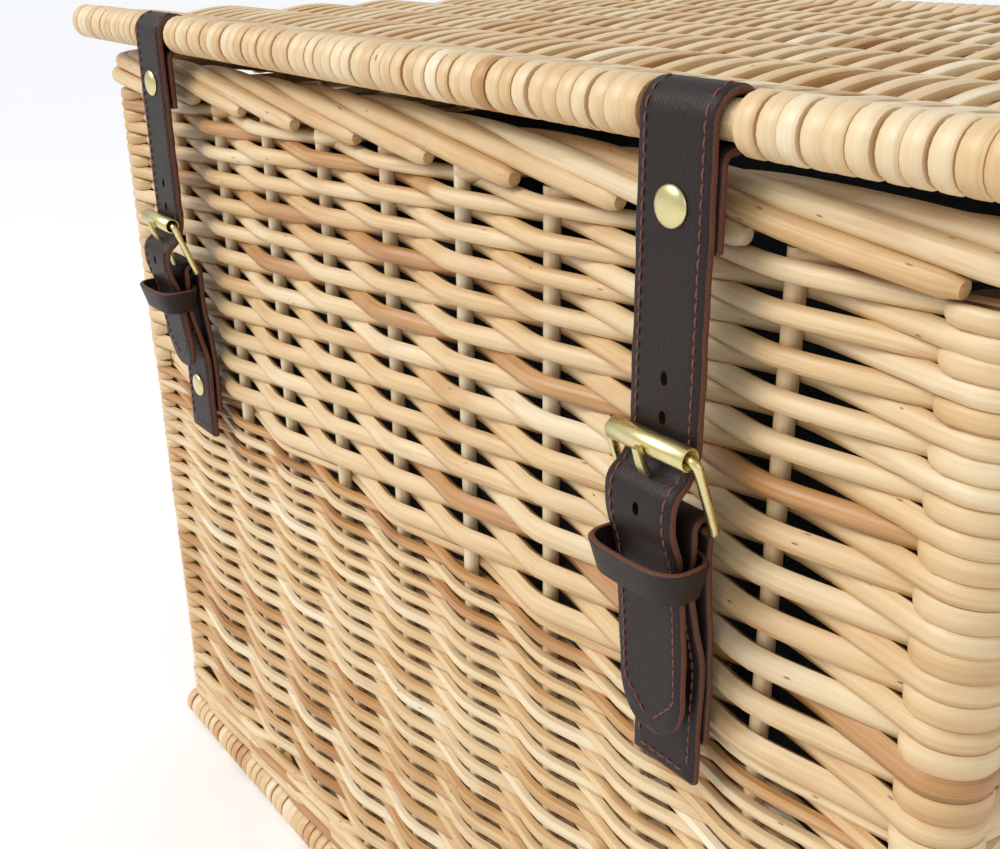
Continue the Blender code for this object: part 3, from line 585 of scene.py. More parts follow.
def randing(name, low, high, rows, top_share, thickest, sides, tones, drift, node):
    """Rows of weave between two heights; the top one is top_share as high as the bottom one.

    A row's depth is mid - reach * (cos + 0.09 cos 3) of pi times its bays.
    """
    pitch = np.linspace(1.0, top_share, rows)
    pitch *= (high - low) / pitch.sum()
    height = low + np.cumsum(pitch) - pitch / 2
    half = pitch / 2 * rng.uniform(1.10, 1.22, rows)
    thick = np.minimum(half, thickest)
    reach = DRAWN_STAKE + thick * 0.55
    phase = np.pi * (bay(WALK)[None] + np.arange(rows)[:, None])
    wave = (np.cos(phase) + 0.09 * np.cos(3 * phase)) / 1.09
    depth = WEAVE_MIDDLE - reach[:, None] * wave
    outside = (np.arange(rows) + np.round(bay(post_at[0]))) % 2 < 0.5
    post = near_post(WALK, height[:, None]) * outside[:, None]
    depth = depth * (1 - post) + post * POST_WRAP
    ends = np.minimum(1, np.minimum(height - low, high - height) / 0.006)[:, None]
    z = height[:, None] + waves(rows, drift) * ends
    paths, out = wall_point(np.broadcast_to(WALK, z.shape), depth, z)
    width = half[:, None] * (1 + 0.05 * np.sin(phase / 5 + rng.uniform(0, 6, (rows, 1))))
    flat = 1 - 0.25 * post
    sizes = np.stack([thick[:, None] * flat * np.ones_like(width), width], -1)
    made = sweep(paths, out, sizes, round_section(sides), tones, closed=True,
                 start=rng.uniform(0, 9, (rows, 1)))
    bands = post_bands(height[~outside], half[~outside], thick[~outside])
    return piece(name, *joined([made, bands]), WILLOW, "basket", "willow", node)


UPPER_ROWS, LOWER_ROWS = 23, 43
WALE_TOP, WEAVE_TOP = 0.0322, 0.2972
randing("upper_weave", FINE_WEAVE_TOP, WEAVE_TOP, UPPER_ROWS, 0.72, 0.0024, 8,
        row_tones(UPPER_ROWS, 0.09, 0.06), 0.00035, ["upper_siding"])
randing("lower_weave", WALE_TOP, FINE_WEAVE_TOP, LOWER_ROWS, 0.70, 0.0019, 7,
        row_tones(LOWER_ROWS, 0.15, 0.22), 0.00030, ["lower_siding"])

# %% [markdown]
# ## The wale
#
# The foot of the wall is locked with a wale: three rods laid in together, each one passing in front
# of two stakes and behind one. A twisted rope would look much the same from afar, but a wale shows
# its slanting steps only where rods cross, so the three are one wave, a third of a turn apart.

# %% Three-rod wale at the foot
def wale(name, low, high, rounds):
    """Depth follows a clipped cosine of a third of the bays, and height the sine of the same angle."""
    parts = []
    pitch = (high - low) / rounds
    half_thick, half_high = 0.0021, 0.0023
    for k in range(rounds):
        phase = 2 * np.pi / 3 * (bay(WALK)[None] + np.arange(3)[:, None] + k)
        depth = WALL / 2 - 0.0040 * np.clip(1.5 * np.cos(phase) + 0.45, -1, 1)
        post = near_post(WALK, np.array([[low]]))
        depth = depth * (1 - post) + post * POST_WRAP
        z = low + pitch * (k + 0.5) + 0.30 * pitch * np.sin(phase)
        paths, out = wall_point(np.broadcast_to(WALK, z.shape), depth, z)
        sizes = np.stack([np.full_like(z, half_thick), np.full_like(z, half_high)], -1)
        parts.append(sweep(paths, out, sizes, round_section(8), row_tones(3, 0.12, 0.2), closed=True,
                           start=rng.uniform(0, 9, (3, 1))))
    return piece(name, *joined(parts), WILLOW, "basket", "willow")


wale("foot_wale", BASE_TOP + 0.0006, WALE_TOP, 3)

# %% [markdown]
# ## Stakes and posts
#
# The stakes are straight rods that the weave hides half of, and a stout brown post stands in each
# corner. Plain cylinders would do behind the weave, but the gaps show them, so each one wobbles a
# little in girth. The posts swell just below the border, where they were driven in.

# %% Uprights
def uprights(name, places, depth, radius, top, surface, slot, tones, nodes, sides=10, head=0.0):
    """Upright rods at distances round the wall; girth is 1 + 0.04 sin of the height, plus the head."""
    z = np.broadcast_to(np.linspace(BASE_TOP, top, 48), (len(places), 48))
    paths, out = wall_point(np.broadcast_to(places[:, None], z.shape), np.full(z.shape, depth), z)
    wobble = 1 + 0.04 * np.sin(z * 60 + places[:, None] * 50)
    swell = 1 + head * np.clip((z - top + 0.014) / 0.010, 0, 1)
    sizes = np.stack([radius * wobble * swell] * 2, -1)
    made = sweep(paths, out, sizes, round_section(sides), tones, start=places[:, None])
    return piece(name, *made, surface, "basket", slot, nodes)


cad_names = [o.name for o in bpy.data.objects if o.type == "MESH"]
uprights("upright_stakes", stake_at, WEAVE_MIDDLE, DRAWN_STAKE, BORDER_BOTTOM + 0.002, WILLOW,
         "pale_willow", rng.uniform(0.65, 0.95, (len(stake_at), 1)),
         [n for n in cad_names if n.startswith("stake_")])
uprights("corner_posts", post_at, CORNER, POST_RADIUS, BORDER_BOTTOM - 0.0003, POST_WILLOW,
         "post_willow", rng.uniform(0.4, 0.6, (4, 1)),
         [n for n in cad_names if n.startswith("corner_post_")], 16, 0.25)

# %% [markdown]
# ## The border
#
# A rolled border is the stakes themselves. Each one bends to the right, runs behind its neighbour,
# crosses over the top and comes down in front of the third, where it is cut. Modelled as one rope it
# would have no cut ends, so every rod is drawn, all from the same curve shifted by one bay. Three of
# them lie beside each other everywhere.

# %% Rolled border
def border(name):
    """Rod k starts at upright k; share p of bays later it lies at a depth and height read off a curve."""
    share = np.array([-0.02, 0.4, 0.9, 1.5, 2.2, 2.9, 3.6, 4.2, 4.75])
    depth_height = np.array([(6.5, -0.5), (9.6, 2.6), (11.8, 6.0), (10.4, 9.6), (7.2, 11.2), (4.0, 10.7),
                             (2.2, 8.3), (1.7, 5.2), (2.0, 2.7)]) / 1000
    steps = np.linspace(-0.02, 4.75, 64)
    shape = curve(share, depth_height, steps)
    count = np.arange(BAYS)[:, None] + steps[None]
    distance = np.interp(count, np.arange(-BAYS, 2 * BAYS), around)
    jitter = rng.normal(0, 0.00025, (BAYS, 1))
    z = BORDER_BOTTOM + shape[:, 1][None] + jitter
    paths, out = wall_point(distance, shape[:, 0][None] + jitter + np.zeros_like(z), z)
    cut = 1 - 0.35 * np.clip((steps - 4.68) / 0.07, 0, 1) ** 2
    radius = 0.0032 * (1 - 0.12 * steps / 4)[None] * cut[None] * rng.uniform(0.94, 1.05, (BAYS, 1))
    made = sweep(paths, out, np.stack([radius, radius], -1), round_section(12),
                 rng.uniform(0.45, 0.92, (BAYS, 1)), start=rng.uniform(0, 9, (BAYS, 1)))
    return piece(name, *made, WILLOW, "basket", "willow", ["rim_border"])


border("rolled_border")

# %% [markdown]
# ## The lid and the base
#
# Both are the same cloth of willow: strands run from front to back over and under cross sticks, and
# wrap round a stick at each end, which makes the fat roll along both long edges. The roll could be a
# separate rod, but the eye follows each strand round it, so one path goes round the front stick,
# waves over the cross sticks and goes round the back one.

# %% Strands and sticks of a panel
STRAND = 0.0049
BAND_HALF = 0.0014          # half of a strand's thickness
TURN = np.radians(np.linspace(300, 95, 12))
CROSS_STICK = 0.0021


def strand_path(count, reach, roll, sticks):
    """(u, w) of every strand: u from the front roll's axis to the back one's, w up from the plane.

    Between the rolls w waves as A cos(pi (u - u0) / gap), the other way round on every second strand.
    """
    ring = roll - BAND_HALF
    middle = np.linspace(0.004, reach - 0.004, 66)
    wave = np.cos(np.pi * (middle - sticks[0]) / (sticks[1] - sticks[0]))
    rise = smooth_step(np.minimum(middle, reach - middle) / 0.022)
    parity = np.where(np.arange(count) % 2, 1.0, -1.0)[:, None]
    flat = (1 - rise) * ring + rise * 0.0024 * parity * wave
    first = np.broadcast_to(ring * np.sin(TURN), (count, len(TURN)))
    w = np.concatenate([first, flat, first[:, ::-1]], axis=1)
    u = np.concatenate([ring * np.cos(TURN), middle, reach - ring * np.cos(TURN[::-1])])
    return np.broadcast_to(u, w.shape), w


def tilted(x, u, w, start, tilt):
    """A panel's (x, u, w) as (x, y, z): u runs back and down by the tilt, w up and back by it."""
    return np.stack([x, start[0] + u * math.cos(tilt) + w * math.sin(tilt),
                     start[1] - u * math.sin(tilt) + w * math.cos(tilt)], -1)


print(int(round(2 * LID_HALF_WIDTH / STRAND)), "strands in the lid")


# %% Woven panels
def woven_panel(name, half_width, reach, roll, sticks, start, tilt, body, nodes):
    """Strands side by side, the lid's rolls left bare where the leather loops go, and the sticks."""
    count = int(round(2 * half_width / STRAND))
    x0 = (np.arange(count) + 0.5) * (2 * half_width / count) - half_width
    x0 = x0 + rng.uniform(-0.12, 0.12, count) * STRAND
    u, w = strand_path(count, reach, roll, sticks)
    bare = np.zeros(count, bool)
    if body == "lid":
        bare = np.minimum(np.abs(x0 - STRAP_X), np.abs(x0 + STRAP_X)) < 0.0112 + 0.4 * STRAND
    parts = []
    drift = 0.0009 * sum(np.sin(n * u * 25 + p) for n, p in ((1, 0.0), (2.3, 1.7)))
    for rows, cut in ((~bare, slice(None)), (bare, slice(15, -15))):
        if not rows.any():
            continue
        uu, ww, place = u[rows][:, cut], w[rows][:, cut], x0[rows][:, None]
        xx = place + drift[rows][:, cut] * np.minimum(1, (half_width - np.abs(place)) / 0.03)
        half = half_width / count * rng.uniform(0.92, 1.06, (len(uu), 1)) * np.ones_like(uu)
        sizes = np.stack([half, np.full_like(half, BAND_HALF)], -1)
        tones = np.clip(rng.normal(0.66, 0.13, (len(uu), 1)), 0.05, 0.98)
        # painted shade darkens each strand's two sides, where it meets its neighbours
        parts.append(sweep(tilted(xx, uu, ww, start, tilt), np.array([1.0, 0, 0]), sizes, BAND, tones,
                           start=rng.uniform(0, 9, (len(uu), 1)), painted_seam_shade=0.20))
    lines = np.array([(0.0, CORE_RADIUS), (reach, CORE_RADIUS), *[(s, CROSS_STICK) for s in sticks]])
    along = np.linspace(-half_width + 0.0004, half_width - 0.0004, 40)
    xs = np.broadcast_to(along, (len(lines), 40))
    sizes = np.broadcast_to(lines[:, None, 1:], (len(lines), 40, 1)).repeat(2, axis=2)
    parts.append(sweep(tilted(xs, lines[:, :1] + 0 * xs, 0 * xs, start, tilt), np.array([0, 0, 1.0]),
                       sizes, round_section(12), rng.uniform(0.5, 0.9, (len(lines), 1)),
                       start=rng.uniform(0, 9, (len(lines), 1))))
    return piece(name, *joined(parts), WILLOW, body, "willow", nodes)


woven_panel("lid_weave", LID_HALF_WIDTH, LID_REACH, ROLL_RADIUS, 0.020 + 0.0385 * np.arange(7),
            (LID_FRONT_Y, LID_FRONT_Z), LID_TILT, "lid", ["lid_panel"])
woven_panel("base_weave", HALF_WIDTH, 0.255, 0.0069, 0.024 + 0.0345 * np.arange(7),
            (-0.1275, 0.007), 0.0, "basket", ["base_panel"])

# %% [markdown]
# ## The lining
#
# A thin dark cloth tub is stretched inside, from hem to hem across the floor. Cloth this tight hardly
# moves, so it isn't simulated. Its profile, from the middle of the floor out, up, over the hem and
# back, is carried round the wall's plan, with slack ripples that grow towards the hem.

# %% Lining tub
def lining(name):
    """Profile (depth, height, how far pulled to the middle) carried round the plan, with ripples."""
    outer, inner = 0.0164, 0.0174
    top, floor = 0.2744, 0.0146
    inside_floor = floor + inner - outer
    around_steps = 240
    heights = np.linspace(inside_floor, top, 20)
    profile = np.array([(outer, floor, k) for k in (0.9, 0.6, 0.3, 0.0)]
                       + [(outer, z, 0) for z in heights] + [(inner, z, 0) for z in heights[::-1]]
                       + [(inner, inside_floor, k) for k in (0.0, 0.3, 0.6, 0.9)])
    stations = np.arange(0, ROUND, ROUND / around_steps)
    s = np.broadcast_to(stations[:, None], (around_steps, len(profile)))
    climb = np.clip((profile[:, 1] - 0.06) / 0.2, 0, 1)
    slack = 0.0006 * climb * (np.sin(s * 58) + 0.6 * np.sin(s * 131 + 1)) + 0 * s
    cloth, out = wall_point(s, np.full_like(s, CORNER), profile[:, 1] + 0 * s)
    cloth = cloth - out * (profile[:, 0] - CORNER + np.maximum(slack, -0.0004))[..., None]
    cloth[..., :2] *= (1 - profile[:, 2])[None, :, None]
    n, m = cloth.shape[:2]
    ring = np.arange(n * m).reshape(n, m)
    ahead = np.roll(ring, -1, axis=0)
    quads = np.stack([ring[:, :-1], ahead[:, :-1], ahead[:, 1:], ring[:, 1:]], -1).reshape(-1, 4)
    under, over = np.full(n, n * m), np.full(n, n * m + 1)
    faces = [quads, np.stack([under, ahead[:, 0], ring[:, 0]], -1),
             np.stack([over, ring[:, -1], ahead[:, -1]], -1)]
    points = np.concatenate([cloth.reshape(-1, 3), [(0, 0, floor), (0, 0, inside_floor)]])
    grain = np.concatenate([points[f.ravel()][:, :2] for f in faces])
    made = piece(name, points, faces, grain, {}, CLOTH, "basket", "lining_fabric", ["lining"])
    return made


lining("cloth_lining")

# %% [markdown]
# ## The handles
#
# Three thin rods twisted into a rope make each grip, and both ends go into the wall. A screw
# modifier on a circle can't follow a bow, so the three strands circle the bowed path a third of a
# turn apart.

# %% Twisted grips
GRIP_PATH = np.array([(-12.6, -60.75), (2, -60.75), (16, -60.2), (28, -55), (33.2, -44), (34, -30), (34, 0),
                      (34, 30), (33.2, 44), (28, 55), (16, 60.2), (2, 60.75), (-12.6, 60.75)]) / 1000
GRIP_REACH, GRIP_HALF, GRIP_Z = 0.034, 0.06075, 0.262
TWIST_PITCH, TWIST_RADIUS, TWIST_ROD = 0.034, 0.0023, 0.0027


def handle(name, way, node):
    """Three strands at 120 degrees on a helix: strand = path + r (lift cos a + aside sin a)."""
    walk = lengths_along(GRIP_PATH)
    at = np.linspace(0, walk[-1], 150)
    out, y = curve(walk, GRIP_PATH, at).T
    rise = 0.012 * np.maximum(0, 1 - (y / GRIP_HALF) ** 2) * np.maximum(out, 0) / GRIP_REACH
    middle = np.stack([way * (HALF_WIDTH + out), y, GRIP_Z + rise], -1)
    along = unit(np.gradient(middle, axis=0))
    lift = unit(np.array([0, 0, 1.0]) - along * along[:, 2:])
    aside = np.cross(along, lift)
    angle = at[None] * 2 * np.pi / TWIST_PITCH + np.array([0, 2, 4])[:, None] * np.pi / 3
    offset = lift[None] * np.cos(angle)[..., None] + aside[None] * np.sin(angle)[..., None]
    sizes = np.full((3, len(at), 2), TWIST_ROD)
    made = sweep(middle[None] + TWIST_RADIUS * offset, offset, sizes, round_section(10),
                 rng.uniform(0.5, 0.85, (3, 1)), start=rng.uniform(0, 9, (3, 1)))
    return piece(name, *made, WILLOW, "basket", "willow", [node])


for side_name, way in (("left", -1), ("right", 1)):
    handle(f"twisted_handle_{side_name}", way, f"side_handle_{side_name}")

# %% [markdown]
# ## Leather
#
# A strap is a rounded slab carried along a path: up behind, once round the lid's bare stick, then
# down the front. A plane with a Solidify modifier would give square edges that all look machined, so
# the section itself is rounded, and its two ends carry the mark for raw leather. The same path
# carries the stitches, which are small stout bars of thread.

# %% Lines for the straps
def arc(centre, radius, start, end, steps=12):
    """Points on a circle, (out, up), in degrees from straight out."""
    a = np.radians(np.linspace(start, end, steps + 1))
    return np.stack([centre[0] + radius * np.cos(a), centre[1] + radius * np.sin(a)], -1)


def smooth(knots, steps=8):
    """A smooth line through its knots."""
    knots = np.asarray(knots, float)
    walk = lengths_along(knots)
    at = np.unique(np.concatenate([np.linspace(a, b, steps + 1) for a, b in zip(walk, walk[1:])]))
    return curve(walk, knots, at)


def even(path, stride):
    """The path again, in equal strides, and how far along it each point is."""
    path = np.concatenate([path[:1], path[1:][np.linalg.norm(np.diff(path, axis=0), axis=1) > 1e-7]])
    walk = lengths_along(path)
    at = np.linspace(0, walk[-1], int(walk[-1] / stride) + 1)
    return np.stack([np.interp(at, walk, path[:, k]) for k in (0, 1)], -1), at


class Strap:
    """A leather strip along a path of (out of the wall, height), on the front (-1) or the back (+1)."""

    def __init__(self, path, x, way):
        path, self.at = even(path, 0.0008)
        self.middle = np.stack([np.full(len(path), x), way * (HALF_DEPTH + path[:, 0]), path[:, 1]], -1)
        self.across = np.array([-way * 1.0, 0, 0])
        self.normal = np.cross(unit(np.gradient(self.middle, axis=0)), self.across)
        self.length = self.at[-1]

    def place(self, u, v, h):
        """The point u along, v to the side and h above the strip's middle."""
        spot = np.stack([np.interp(u, self.at, self.middle[:, k]) for k in range(3)], -1)
        up = unit(np.stack([np.interp(u, self.at, self.normal[:, k]) for k in range(3)], -1))
        return spot + self.across * v[..., None] + up * h[..., None], up


print("a strip is a grid every 0.8 mm along its path")


# %% Strips of leather
def slab_section():
    """Half of the width and half of the thickness are 1; the cut edges are softly rounded."""
    flat = np.array([-0.93, -0.6, -0.2, 0.2, 0.6, 0.93])
    top = np.stack([flat[::-1], np.ones(6)], -1)
    bottom = np.stack([flat, -np.ones(6)], -1)
    return np.concatenate([[(1.0, -0.45), (1.0, 0.45)], top, [(-1.0, 0.45), (-1.0, -0.45)], bottom])


SLAB = slab_section()
SLAB_EDGE = (np.abs(SLAB[:, 0]) > 0.95).astype(float)


def strip(name, strap, half_widths, body, node):
    """The strap's leather: the slab carried along its path, a touch uneven, its edges marked as raw."""
    n = len(strap.at)
    wave = 1 + 0.012 * np.sin(strap.at * 210) + 0.008 * np.sin(strap.at * 470 + 1)
    sizes = np.stack([half_widths * wave, np.full(n, LEATHER / 2)], -1)[None]
    points, faces, grain, marks = sweep(strap.middle[None], strap.across, sizes, SLAB)
    edge = np.concatenate([np.tile(SLAB_EDGE, n), [1.0, 1.0]])
    edge[:len(SLAB)] = edge[(n - 1) * len(SLAB):n * len(SLAB)] = 1.0
    marks["edge"] = edge
    return piece(name, points, faces, grain, marks, HIDE, body, "dark_leather", [node])


print(len(SLAB), "points round a strip")


# %% Punched holes
def outward(mesh, merge=0.0):
    """Merges points closer than merge, then turns every face outwards."""
    bm = bmesh.new()
    bm.from_mesh(mesh)
    if merge:
        bmesh.ops.remove_doubles(bm, verts=bm.verts, dist=merge)
    bmesh.ops.recalc_face_normals(bm, faces=bm.faces)
    bm.to_mesh(mesh)
    bm.free()


def punched(obj, strap, spots):
    """Cuts holes through a strip with short twelve-sided pins at (u, radius along, radius across)."""
    k, turn = np.arange(12), angles(12)[:, None]
    walls = np.stack([k, (k + 1) % 12, (k + 1) % 12 + 12, k + 12], 1).tolist()
    for u, long_radius, short_radius in spots:
        spot, up = strap.place(np.array([u]), np.array([0.0]), np.array([0.0]))
        along = np.cross(up[0], strap.across)
        ring = along * np.cos(turn) * long_radius + strap.across * np.sin(turn) * short_radius
        ends = np.concatenate([spot[0] + ring - up[0] * LEATHER, spot[0] + ring + up[0] * LEATHER])
        mesh = bpy.data.meshes.new("pin")
        mesh.from_pydata(ends.tolist(), [], [*walls, k[::-1].tolist(), (k + 12).tolist()])
        pin = bpy.data.objects.new("pin", mesh)
        bpy.context.scene.collection.objects.link(pin)
        outward(mesh)
        cut = obj.modifiers.new("hole", "BOOLEAN")
        cut.operation, cut.object, cut.solver = "DIFFERENCE", pin, "EXACT"
        bpy.context.view_layer.update()
        shown = obj.evaluated_get(bpy.context.evaluated_depsgraph_get())
        whole = bpy.data.meshes.new_from_object(shown)
        obj.modifiers.clear()
        obj.data = whole
        bpy.data.objects.remove(pin)
    print(f"{obj.name}: {len(spots)} holes, {len(obj.data.polygons)} faces")


# %% Stitches
STITCH_IN = 0.0022          # from a strap's edge to its stitches
STITCH_STEP, STITCH_LONG = 0.0028, 0.0023
THREAD_RADIUS = 0.00025


def stitches(name, strap, lines, body):
    """Short bars of thread along lines of (u, v) on the strap's face, each arched: height = a sin(pi t)."""
    starts, ends = [], []
    for line in lines:
        line = np.asarray(line, float)
        walk = lengths_along(line)
        at = np.arange(0.0004, walk[-1] - 0.0024, STITCH_STEP)
        for k, store in ((0.0, starts), (STITCH_LONG, ends)):
            store.append(np.stack([np.interp(at + k, walk, line[:, j]) for j in (0, 1)], -1))
    starts, ends = np.concatenate(starts), np.concatenate(ends)
    t = np.linspace(0, 1, 5)
    spots = starts[:, None] + (ends - starts)[:, None] * t[None, :, None]
    h = LEATHER / 2 - 0.00012 + 0.00028 * np.sin(np.pi * t)
    paths, up = strap.place(spots[..., 0], spots[..., 1], np.broadcast_to(h, spots.shape[:2]))
    radius = THREAD_RADIUS * np.array([0.6, 1, 1, 1, 0.6])
    sizes = np.broadcast_to(radius[None, :, None], (len(paths), 5, 2))
    made = sweep(paths, up, sizes, round_section(6), start=rng.uniform(0, 1, (len(paths), 1)))
    return piece(name, *made, THREAD, body, "dark_leather")


def sewn_round(length, sewn):
    """Two lines along a strap's edges over its last part, sewn long, and one across its end."""
    edge, end = STRAP_HALF - STITCH_IN, length - STITCH_IN
    return [[(length - sewn, s * edge), (end, s * edge)] for s in (-1, 1)] + [[(end, -edge), (end, edge)]]


print("a stitch every", STITCH_STEP * 1000, "mm")

# %% [markdown]
# ## Closing straps
#
# Each closing strap is sewn into a loop round the lid's front stick, runs behind the buckle's roller,
# bulges over the lower bar, slips through the keeper and ends in a point. It hangs on its loop and
# swings as the lid opens, so the leather, the thread and the rivet all ride on the strap's own body.

# %% Closing straps
LEAN = math.radians(20)     # how far the buckles lean out of the wall
BAR_OUT, BAR_Z, BUCKLE_HEIGHT = 0.0060, 0.240, 0.019
ROLLER_OUT, ROLLER_Z = BAR_OUT + BUCKLE_HEIGHT * math.sin(LEAN), BAR_Z + BUCKLE_HEIGHT * math.cos(LEAN)
ROLLER_RADIUS, ROLLER_BORE, ROLLER_LENGTH = 0.0026, 0.0020, 0.0224
KEEPER_TOP, KEEPER_BOTTOM = 0.235, 0.2265
TAIL_Z = {"left": 0.203, "right": 0.187}
LID_OUT = -LID_FRONT_Y - HALF_DEPTH
HOLE_Z = [0.2442, 0.2626, 0.2710]


def loop(centre, inner, outer):
    """Up the inner layer, once round the stick, down the outer layer."""
    turn = (centre[0] + LOOP_RADIUS - 2 * LAYER_STEP, centre[1] - LOOP_RADIUS - LAYER_STEP)
    around_stick = arc(centre, LOOP_RADIUS, -90, -360, 40)
    return np.concatenate([inner, arc(turn, LAYER_STEP, 0, 90, 8), around_stick, outer])


def closing_strap(side_name, x):
    """Loop, roller, bulge over the bar, keeper and tail; the last 13 mm narrow as a quarter circle."""
    flat = LID_OUT + LOOP_RADIUS
    behind = ROLLER_OUT - ROLLER_RADIUS - 0.0003 - LEATHER / 2
    over, bulge = BAR_OUT + 2 * LAYER_STEP, 0.0040
    outer = smooth([
        (flat, LID_FRONT_Z - LOOP_RADIUS / 2), (flat, ROLLER_Z + 0.014), (behind, ROLLER_Z + 0.004),
        (behind, ROLLER_Z - 0.0002), (behind + 0.35 * (over + bulge - behind), ROLLER_Z - 0.0060),
        (over + 0.85 * bulge, BAR_Z + 0.0085), (over + bulge, BAR_Z + 0.0035),
        (over + 0.70 * bulge, BAR_Z - 0.002), (over + 0.40 * bulge, KEEPER_TOP),
        (over + 0.10 * bulge, KEEPER_BOTTOM), (0.0085, TAIL_Z[side_name]),
    ])
    inner = np.array([(flat - LAYER_STEP, RIM_HEIGHT - 0.0135)])
    strap = Strap(loop((LID_OUT, LID_FRONT_Z), inner, outer), x, -1)
    left = strap.length - strap.at
    share = np.clip(left / 0.013, 0, 1)
    half = STRAP_HALF * (0.25 + 0.75 * np.sqrt(share * (2 - share)))
    body = f"strap_{side_name}"
    hide = strip(f"closing_strap_leather_{side_name}", strap, half, body, f"closing_strap_{side_name}")
    holes = strap.length - np.interp(HOLE_Z, strap.middle[::-1, 2], left[::-1])
    punched(hide, strap, [(u, 0.0016, 0.0010) for u in holes])
    edge = STRAP_HALF - STITCH_IN
    top, tip = strap.length - (LID_FRONT_Z - TAIL_Z[side_name]) - 0.012, strap.length - 0.011
    lines = [[(top, s * edge), (tip, s * edge), (strap.length - 0.0035, s * 0.0012)] for s in (-1, 1)]
    stitches(f"closing_strap_stitching_{side_name}", strap, lines, body)


for side_name, x in SIDES_X.items():
    closing_strap(side_name, x)

# %% [markdown]
# ## Buckle straps, keepers and hinge straps
#
# A short strap folded round each buckle's lower bar is riveted to the wall, and a loose band round
# both holds the closing strap's tail. At the back, two more loops round the lid's back stick are the
# hinges. The straps don't move, so they stay with the basket, and the hinge loops are round the very
# axis that the lid turns on, which is why they never tear.

# %% Straps riveted to the wall
BUCKLE_RIVET_Z, STRAP_RIVET_Z, HINGE_RIVET_Z = 0.1935, 0.3055, 0.2825
RIVET_RADIUS = 0.0043
ON_WALL = 0.0003 + LEATHER / 2
SECOND = ON_WALL + LAYER_STEP       # the middle of the second layer on the wall


def riveted(kind, side_name, path, x, way, sewn):
    """A full-width strap on the wall, stitched over the last part, sewn long, of its outer layer."""
    strap = Strap(path, x, way)
    widths = np.full(len(strap.at), STRAP_HALF)
    strip(f"{kind}_leather_{side_name}", strap, widths, "basket", f"{kind}_{side_name}")
    stitches(f"{kind}_stitching_{side_name}", strap, sewn_round(strap.length, sewn), "basket")


def buckle_strap(side_name, x):
    """Folded round the buckle's lower bar, with both layers riveted to the wall."""
    top = BUCKLE_RIVET_Z + RIVET_RADIUS + 3 * LAYER_STEP
    widest, bar = KEEPER_BOTTOM - 0.0003, BAR_Z - 0.0003
    half_way = (top + widest) / 2
    back = smooth([(ON_WALL, BUCKLE_RIVET_Z - 2 * RIVET_RADIUS), (ON_WALL, top),
                   (0.6 * ON_WALL + 0.4 * (BAR_OUT - LAYER_STEP), half_way), (BAR_OUT - LAYER_STEP, widest),
                   (BAR_OUT - LAYER_STEP, bar)])
    front_leg = smooth([(BAR_OUT + LAYER_STEP, bar), (BAR_OUT + LAYER_STEP, widest),
                        (0.5 * (ON_WALL + BAR_OUT) + LAYER_STEP, half_way), (SECOND, top),
                        (SECOND, BUCKLE_RIVET_Z), (SECOND, 0.175)])
    fold = arc((BAR_OUT, BAR_Z), LAYER_STEP, 180, 0, 16)
    riveted("buckle_strap", side_name, np.concatenate([back, fold, front_leg]), x, -1, 0.058)


def hinge_strap(side_name, x):
    """A loop round the lid's back stick with both ends riveted to the back wall."""
    flat = HINGE_OUT + LOOP_RADIUS
    turn = HINGE_Z - LOOP_RADIUS - LAYER_STEP
    top = HINGE_RIVET_Z + RIVET_RADIUS + LAYER_STEP
    bottom, bow, middle = 0.272, flat - LAYER_STEP - ON_WALL, (top + turn) / 2
    inner = smooth([(ON_WALL, bottom), (ON_WALL, HINGE_RIVET_Z), (ON_WALL, top),
                    (ON_WALL + 0.3 * bow, middle - 0.0003), (ON_WALL + bow, turn - 0.0003)])
    outer = smooth([(flat, turn), (SECOND + 0.4 * bow, middle), (SECOND, top), (SECOND, HINGE_RIVET_Z),
                    (SECOND, bottom)])
    riveted("hinge_strap", side_name, loop((HINGE_OUT, HINGE_Z), inner, outer), x, 1,
            STITCH_IN + 0.036)


print("two layers reach", round((SECOND + LEATHER / 2) * 1000, 1), "mm out of the wall")


# %% Keepers
def keeper(side_name, x):
    """A closed band: a rounded rectangle, sign(c) |c|^0.62 of a circle, leaning out at the top."""
    half_x, back, front_out, half_thick, half_high = 0.0128, 0.0060, 0.0184, 0.0008, 0.0042
    a = angles(72)
    square = [np.sign(c) * np.abs(c) ** 0.62 for c in (np.cos(a), np.sin(a))]
    y_mid, half_y = -HALF_DEPTH - (back + front_out) / 2, (front_out - back) / 2
    tip = 0.0004 * np.cos(a) - 0.0006
    paths = np.stack([x + half_x * square[0], y_mid + half_y * square[1],
                      (KEEPER_TOP + KEEPER_BOTTOM) / 2 + tip], -1)[None]
    sizes = np.broadcast_to(np.array([half_high, half_thick]), (1, 72, 2))
    lean = np.stack([0.24 * np.cos(a), 0.26 * np.sin(a) - 0.05, np.ones(72)], -1)[None]
    points, faces, grain, marks = sweep(paths, lean, sizes, SLAB, closed=True)
    marks["edge"] = np.tile(SLAB_EDGE, 72)
    piece(f"keeper_leather_{side_name}", points, faces, grain, marks, HIDE, "basket", "dark_leather",
          [f"keeper_{side_name}"])


for side_name, x in SIDES_X.items():
    buckle_strap(side_name, x)
    keeper(side_name, x)
    hinge_strap(side_name, x)

# %% [markdown]
# ## Metal
#
# The buckle is bent wire with a brass tube that rolls on its upper bar, and a flat prong curled
# round the lower bar. Rivets and the tube are turned shapes: a profile spun round an axis. Blender's
# Screw modifier spins too, but the axis here is the piece's own, and the poles have to be one point.

